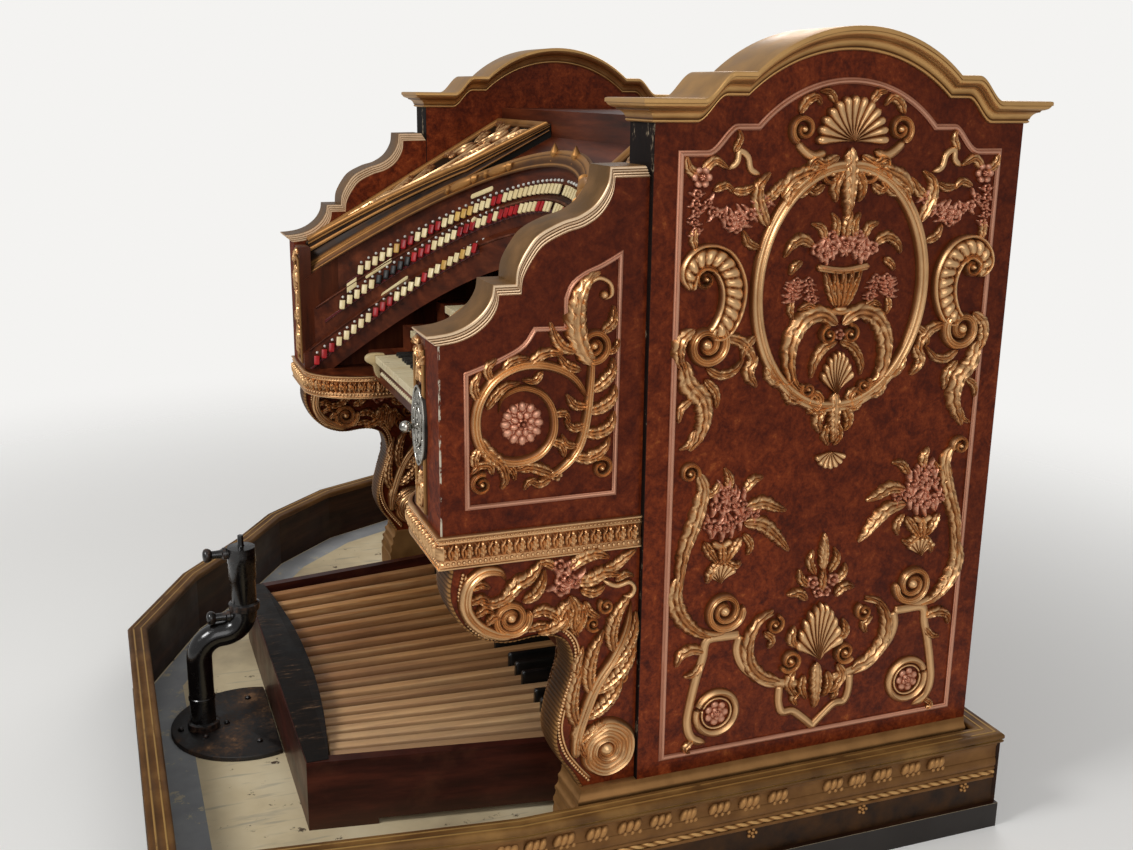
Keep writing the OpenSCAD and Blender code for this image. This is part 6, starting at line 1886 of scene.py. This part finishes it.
silvered = coat("silver_plated_brass", draw_plate)
piece("oval_plate_tracery", set_on(oval_parts, front(-arm_face - 5.2)), silvered, "silvered_plate", sharp=45)
oval_ground = plate(on_oval(1.0, np.degrees(oval_turn)), 5.2, 0.6, 0.4)
piece("oval_plate_ground", set_on([oval_ground], front(-arm_face)),
      coat("tarnished_silver_plate", draw_tarnish), "silvered_plate", "oval_plate")
arm_drops = carve("""
leaf 8 7 3 732,1086 718,1100 704,1092
leaf 8 7 3 732,1086 746,1100 760,1094
leaf 9 8 734,1080 738,1062 732,1044
leaf 6 6 3 744,1068 752,1056 754,1044
blossom 9 8 732,1080
leaf 9 8 738,868 744,850 736,834
leaf 7 7 4 730,856 718,844 712,828
leaf 7 7 4 744,846 754,834 754,816
bar 3/5/3 7 34 9 1 716,822 724,800 732,794 740,800 748,822
leaf 9 8 4 732,838 732,816 732,792""")
piece("right_arm_gilding", set_on(arm_drops, front(-arm_face)), yellow_gold, "old_gold", sharp=60)
left_drop = carve("""
leaf 15 10 6 732,1072 732,1040 730,1000
leaf 9 8 4 732,1060 712,1050 704,1024
leaf 9 8 4 732,1060 752,1050 760,1024
bar 5/7/6/7/5 9 34 9 2 732,1006 724,980 736,950 728,920 732,890
blossom 14 11 6 732,996
leaf 9 8 4 728,960 712,948 706,922
leaf 9 8 4 736,940 752,928 758,902
blossom 13 10 6 730,914
leaf 14 10 6 732,896 732,860 732,812
leaf 8 8 4 732,884 716,866 712,842
leaf 8 8 4 732,884 748,866 752,842""")
piece("left_arm_gilding", set_on(left_drop, front(-arm_face, -1)), yellow_gold, "old_gold", sharp=60)


# Pedals: pale maple naturals and ebonised sharps with rounded tops, fanned from the heel rail and
# set on a hollow curve. One lath of each kind is turned about the fan's centre for every pedal.
fan_r, fan_y, hollow_r = 3337.5, -3593.5, 2590.0
fan_step = 2 * (534 - 24 - 26) / 18 / fan_r


def fanned(lath_part, turns):
    """Copies of a lath: each is turned by its angle round the fan's centre, and lifted by the hollow."""
    points, quads, wear_and_shade = lath_part
    turns = np.asarray(turns)[:, None]
    x = points[None, :, 0] * np.cos(turns) + points[None, :, 1] * np.sin(turns)
    y = -points[None, :, 0] * np.sin(turns) + points[None, :, 1] * np.cos(turns) + fan_y
    lift = hollow_r - np.sqrt(hollow_r ** 2 - (fan_r * np.sin(turns)) ** 2)
    z = points[None, :, 2] + lift + 64.7
    moved = (quads[None] + len(points) * np.arange(len(turns))[:, None, None]).reshape(-1, 4)
    tones = 0.78 + 0.22 * np.sin(12.9898 * np.arange(len(turns)) ** 2)
    return np.stack([x, y, z], axis=-1).reshape(-1, 3), moved, (wear_and_shade[None] * tones[:, None]).reshape(-1)


def draw_maple(tree):
    """Pale straight-grained wood: streaks along the pedals, a tone for each pedal, grime by the rails, paler towards
    the organist's right, and painted shade on each pedal's sides and lower edges.
    """
    place = add(tree, "ShaderNodeTexCoord").outputs["Object"]
    streak = grain(tree, 7, (1, 0.04, 1), detail=6, rough=0.6, distortion=0.2)
    each = grain(tree, 46, (1, 0.08, 0.1), detail=1)
    grime = grain(tree, 120, detail=5, rough=0.65)
    fine = ramp(tree, streak, [(0.25, "#96602f"), (0.46, "#bf8850"), (0.62, "#d3a26a"), (0.8, "#e3bd88")])
    toned = blend_colours(tree, shift(tree, each, 0.42, 0.66, 0, 0.55), fine, "#9a6236")
    dark = blend_colours(tree, shift(tree, grime, 0.52, 0.78, 0, 0.5), toned, "#4e3320")
    far = add(tree, "ShaderNodeSeparateXYZ", {0: place}).outputs["X"]
    # Paler towards the organist's right, along +x.
    paler_towards_right = blend_colours(tree, shift(tree, far, 0.1, 0.8, 0, 0.4), dark, "#e3c79c")
    wear_and_shade_level = add(tree, "ShaderNodeAttribute", attribute_name="wear_and_shade").outputs["Fac"]
    # Painted shade: each pedal's sides and lower edges are darkened by the per-point value.
    shaded_sides = blend_colours(tree, shift(tree, wear_and_shade_level, 0.5, 1.0, 0.5, 0.0), paler_towards_right, "#6b3e20")
    shaded_sides = blend_colours(tree, shift(tree, wear_and_shade_level, 0.0, 0.5, 0.8, 0.0), shaded_sides, "#2c170b")
    return add(tree, "ShaderNodeBsdfPrincipled", {
        "Base Color": shaded_sides, "Roughness": shift(tree, grime, 0.3, 0.7, 0.42,
                                                0.62), "Normal": dent(tree, streak, 0.15)}).outputs[0]


maple = coat("worn_maple", draw_maple)
natural = lath(26, 690, 40, 3.2, 0, 3, start=fan_r + 3)
piece("natural_pedals", [fanned(natural, (np.arange(19) - 9) * fan_step)], maple, "maple", "pedal_naturals",
      sharp=50)
sharp_pedal = lath(16, 180, 70, 4.5, 2.4, 12, start=fan_r + 3 + 690 - 180)
sharp_slots = np.array([0, 1, 3, 4, 5, 7, 8, 10, 11, 12, 14, 15, 17])
piece("sharp_pedals", [fanned(sharp_pedal, (sharp_slots + 0.5 - 9) * fan_step)], ebonised, "ebony",
      "pedal_sharps", sharp=50)


# Pedal frame: dark red mahogany boards rubbed brown in clouds, and a black-painted cover on the heel rail whose
# pedal-side edge is the fan's arc. The cover is a thin board with a rounded rim.
def draw_case(tree):
    """Dark stained boards: level streaks, brown rubbed clouds, and dull dust near the deck."""
    place = add(tree, "ShaderNodeTexCoord").outputs["Object"]
    streak = grain(tree, 16, (0.15, 0.15, 1), detail=6, rough=0.62)
    cloud = grain(tree, 70, detail=6, rough=0.65)
    tone = ramp(tree, streak, [(0.28, "#200d08"), (0.5, "#391710"), (0.75, "#552619")])
    rubbed = blend_colours(tree, shift(tree, cloud, 0.55, 0.78, 0, 0.55), tone, "#5d3421")
    height = add(tree, "ShaderNodeSeparateXYZ", {0: place}).outputs["Z"]
    dusty = blend_colours(tree, shift(tree, height, 0.12, 0.06, 0, 0.35), rubbed, "#54402f")
    return add(tree, "ShaderNodeBsdfPrincipled", {
        "Base Color": dusty, "Roughness": shift(tree, cloud, 0.3, 0.7, 0.3,
                                                0.5), "Specular IOR Level": 0.15, "Coat Weight": 0.12,
        "Coat Roughness": 0.25, "Normal": dent(tree, streak, 0.2)}).outputs[0]


dress(coat("rubbed_red_mahogany", draw_case), "pedal_frame")
cover_x = np.linspace(532, -532, 40)
cover_plan = np.concatenate([[(-532, -346), (532, -346)],
                             np.column_stack([cover_x, fan_y + np.sqrt((fan_r - 0.5) ** 2 - cover_x ** 2)])])
cover = plate(cover_plan, 3.2, 1.4, 1.0)


def draw_scuffed(tree):
    """Black paint on wood, scuffed brown by shoes: scratches and a rubbed cloud show the ground coat."""
    cloud = grain(tree, 60, detail=7, rough=0.7)
    scratch = grain(tree, 5, (1, 0.2, 1), detail=5, rough=0.7)
    both = add(tree, "ShaderNodeMath", {0: cloud, 1: 0.6, 2: scratch}, operation="MULTIPLY_ADD").outputs[0]
    tone = ramp(tree, both, [(0.55, "#0d0a08"), (0.86, "#17110d"), (0.97, "#3a2a1f"), (1.06, "#6a523c")])
    return add(tree, "ShaderNodeBsdfPrincipled", {
        "Base Color": tone, "Specular IOR Level": 0.15, "Roughness": shift(tree, cloud, 0.3, 0.7, 0.4,
                                                                           0.65), "Normal": dent(tree, both,
                                                                                                 0.2)}).outputs[0]


piece("heel_rail_cover", [(cover[0] + [0, 0, 164], cover[1], cover[2])],
      coat("scuffed_black_paint", draw_scuffed), "pedal_case", sharp=50)


# Seat post: black enamelled cast iron pipe in two bends on a round base plate, with rimmed joints
# and clamp screws that end in balls. A circle is carried up the pipe's bent middle line.
base_y, post_y, bend = -415.0, -523.0, 58.0
turn_ = np.radians(np.linspace(0, 90, 14))
low_bend = np.column_stack([post_y + bend - bend * np.cos(turn_), 200 + bend * np.sin(turn_)])
high_bend = np.column_stack([post_y + bend + bend * np.sin(turn_), 316 - bend * np.cos(turn_)])
post_line = np.concatenate([[(post_y, z) for z in (12, 14, 30, 33, 90, 92, 98, 100)], low_bend, high_bend[1:],
                            [(post_y + 2 * bend, z) for z in (318, 334, 338, 396, 400, 440, 444, 462, 482,
                                                              484, 488, 511.5)]])
post_size = np.concatenate([[38, 39.4, 39, 31.4, 31, 33, 33, 31], np.full(27, 31.0),
                            [37, 38, 31, 31, 33.5, 33.5, 35, 34, 34, 9, 7.5, 7]])
post_step, post_left = frame_along(post_line)
ring_turn = np.linspace(0, 2 * np.pi, 36, endpoint=False)
post_yz = post_line[:, None] + post_left[:, None] * (post_size[:, None] * np.cos(ring_turn))[..., None]
post_x = -post_size[:, None] * np.sin(ring_turn)
post_rings = np.concatenate([post_x[..., None], post_yz], axis=-1)
post_tone = np.broadcast_to(np.clip((post_size - 30) / 9, 0.1, 1)[:, None], post_x.shape)
post_parts = [skin(post_rings, post_tone)]
stub_line = [(13, 0), (13, 34), (15.5, 36), (15.5, 44), (11, 47), (10, 60), (10, 70), (14, 73), (17, 79),
             (17.5, 84), (15, 89), (9, 92), (2, 93)]
for z in (468, 303):
    points, quads, tone = turned(stub_line)
    post_parts.append((np.column_stack([points[:, 0], -407 - points[:, 2], z + points[:, 1]]), quads, tone))
disc_turn = np.linspace(0, 2 * np.pi, 96, endpoint=False)
disc = np.column_stack([188 * np.cos(disc_turn), base_y + 188 * np.sin(disc_turn)])
disc[:, 1] = np.minimum(disc[:, 1], base_y + 63)
plate_part = plate(disc - [0, base_y], 12, 2.2, 0.0)
base_plate = (plate_part[0] + [0, base_y, 0.2], plate_part[1], plate_part[2])
bolts = domes([(post_y_x, post_y_y) for post_y_x, post_y_y in ((56, -523), (-56, -523), (0, -467),
                                                               (0,
                                                                -579), (120, -400), (-120,
                                                                                     -400))], 18, 18, 8,
                                                                                     sides=6)
post_parts.append((bolts[0] + [0, 0, 12], bolts[1], bolts[2]))


def draw_iron(tree):
    """Black stoving enamel on iron: glossy, chipped to brown on ridges, with dust in a cloud."""
    wear_and_shade_level = add(tree, "ShaderNodeAttribute", attribute_name="wear_and_shade").outputs["Fac"]
    chip = grain(tree, 9, detail=7, rough=0.7)
    mix_ = add(tree, "ShaderNodeMath", {0: wear_and_shade_level, 1: 0.28, 2: chip}, operation="MULTIPLY_ADD").outputs[0]
    tone = ramp(tree, mix_, [(0.0, "#070606"), (0.72, "#0f0c0b"), (0.84, "#3a261b"), (0.95, "#6e5844")])
    return add(tree, "ShaderNodeBsdfPrincipled", {
        "Base Color": tone, "Roughness": shift(tree, mix_, 0.55, 0.9, 0.18, 0.6), "Coat Weight": 0.3,
        "Normal": dent(tree, chip, 0.5)}).outputs[0]


def draw_rust(tree):
    """Worn black plate: shoe-rubbed brown iron over the middle, black at the rim."""
    cloud = grain(tree, 55, detail=8, rough=0.68)
    speck = grain(tree, 5, detail=5, rough=0.7)
    both = add(tree, "ShaderNodeMath", {0: speck, 1: 0.5, 2: cloud}, operation="MULTIPLY_ADD").outputs[0]
    tone = ramp(tree, both, [(0.6, "#0c0a09"), (0.74, "#1d1612"), (0.86, "#45301f"), (0.98, "#7d5a3a")])
    return add(tree, "ShaderNodeBsdfPrincipled", {
        "Base Color": tone, "Roughness": shift(tree, both, 0.6, 0.9, 0.4,
                                               0.75), "Normal": dent(tree, both, 0.4)}).outputs[0]


piece("seat_post_pipe", post_parts, coat("black_enamelled_iron", draw_iron), "black_iron", "seat_post",
      sharp=40)
piece("seat_post_base", [base_plate], coat("rubbed_cast_iron", draw_rust), "black_iron", "seat_post",
      sharp=50)
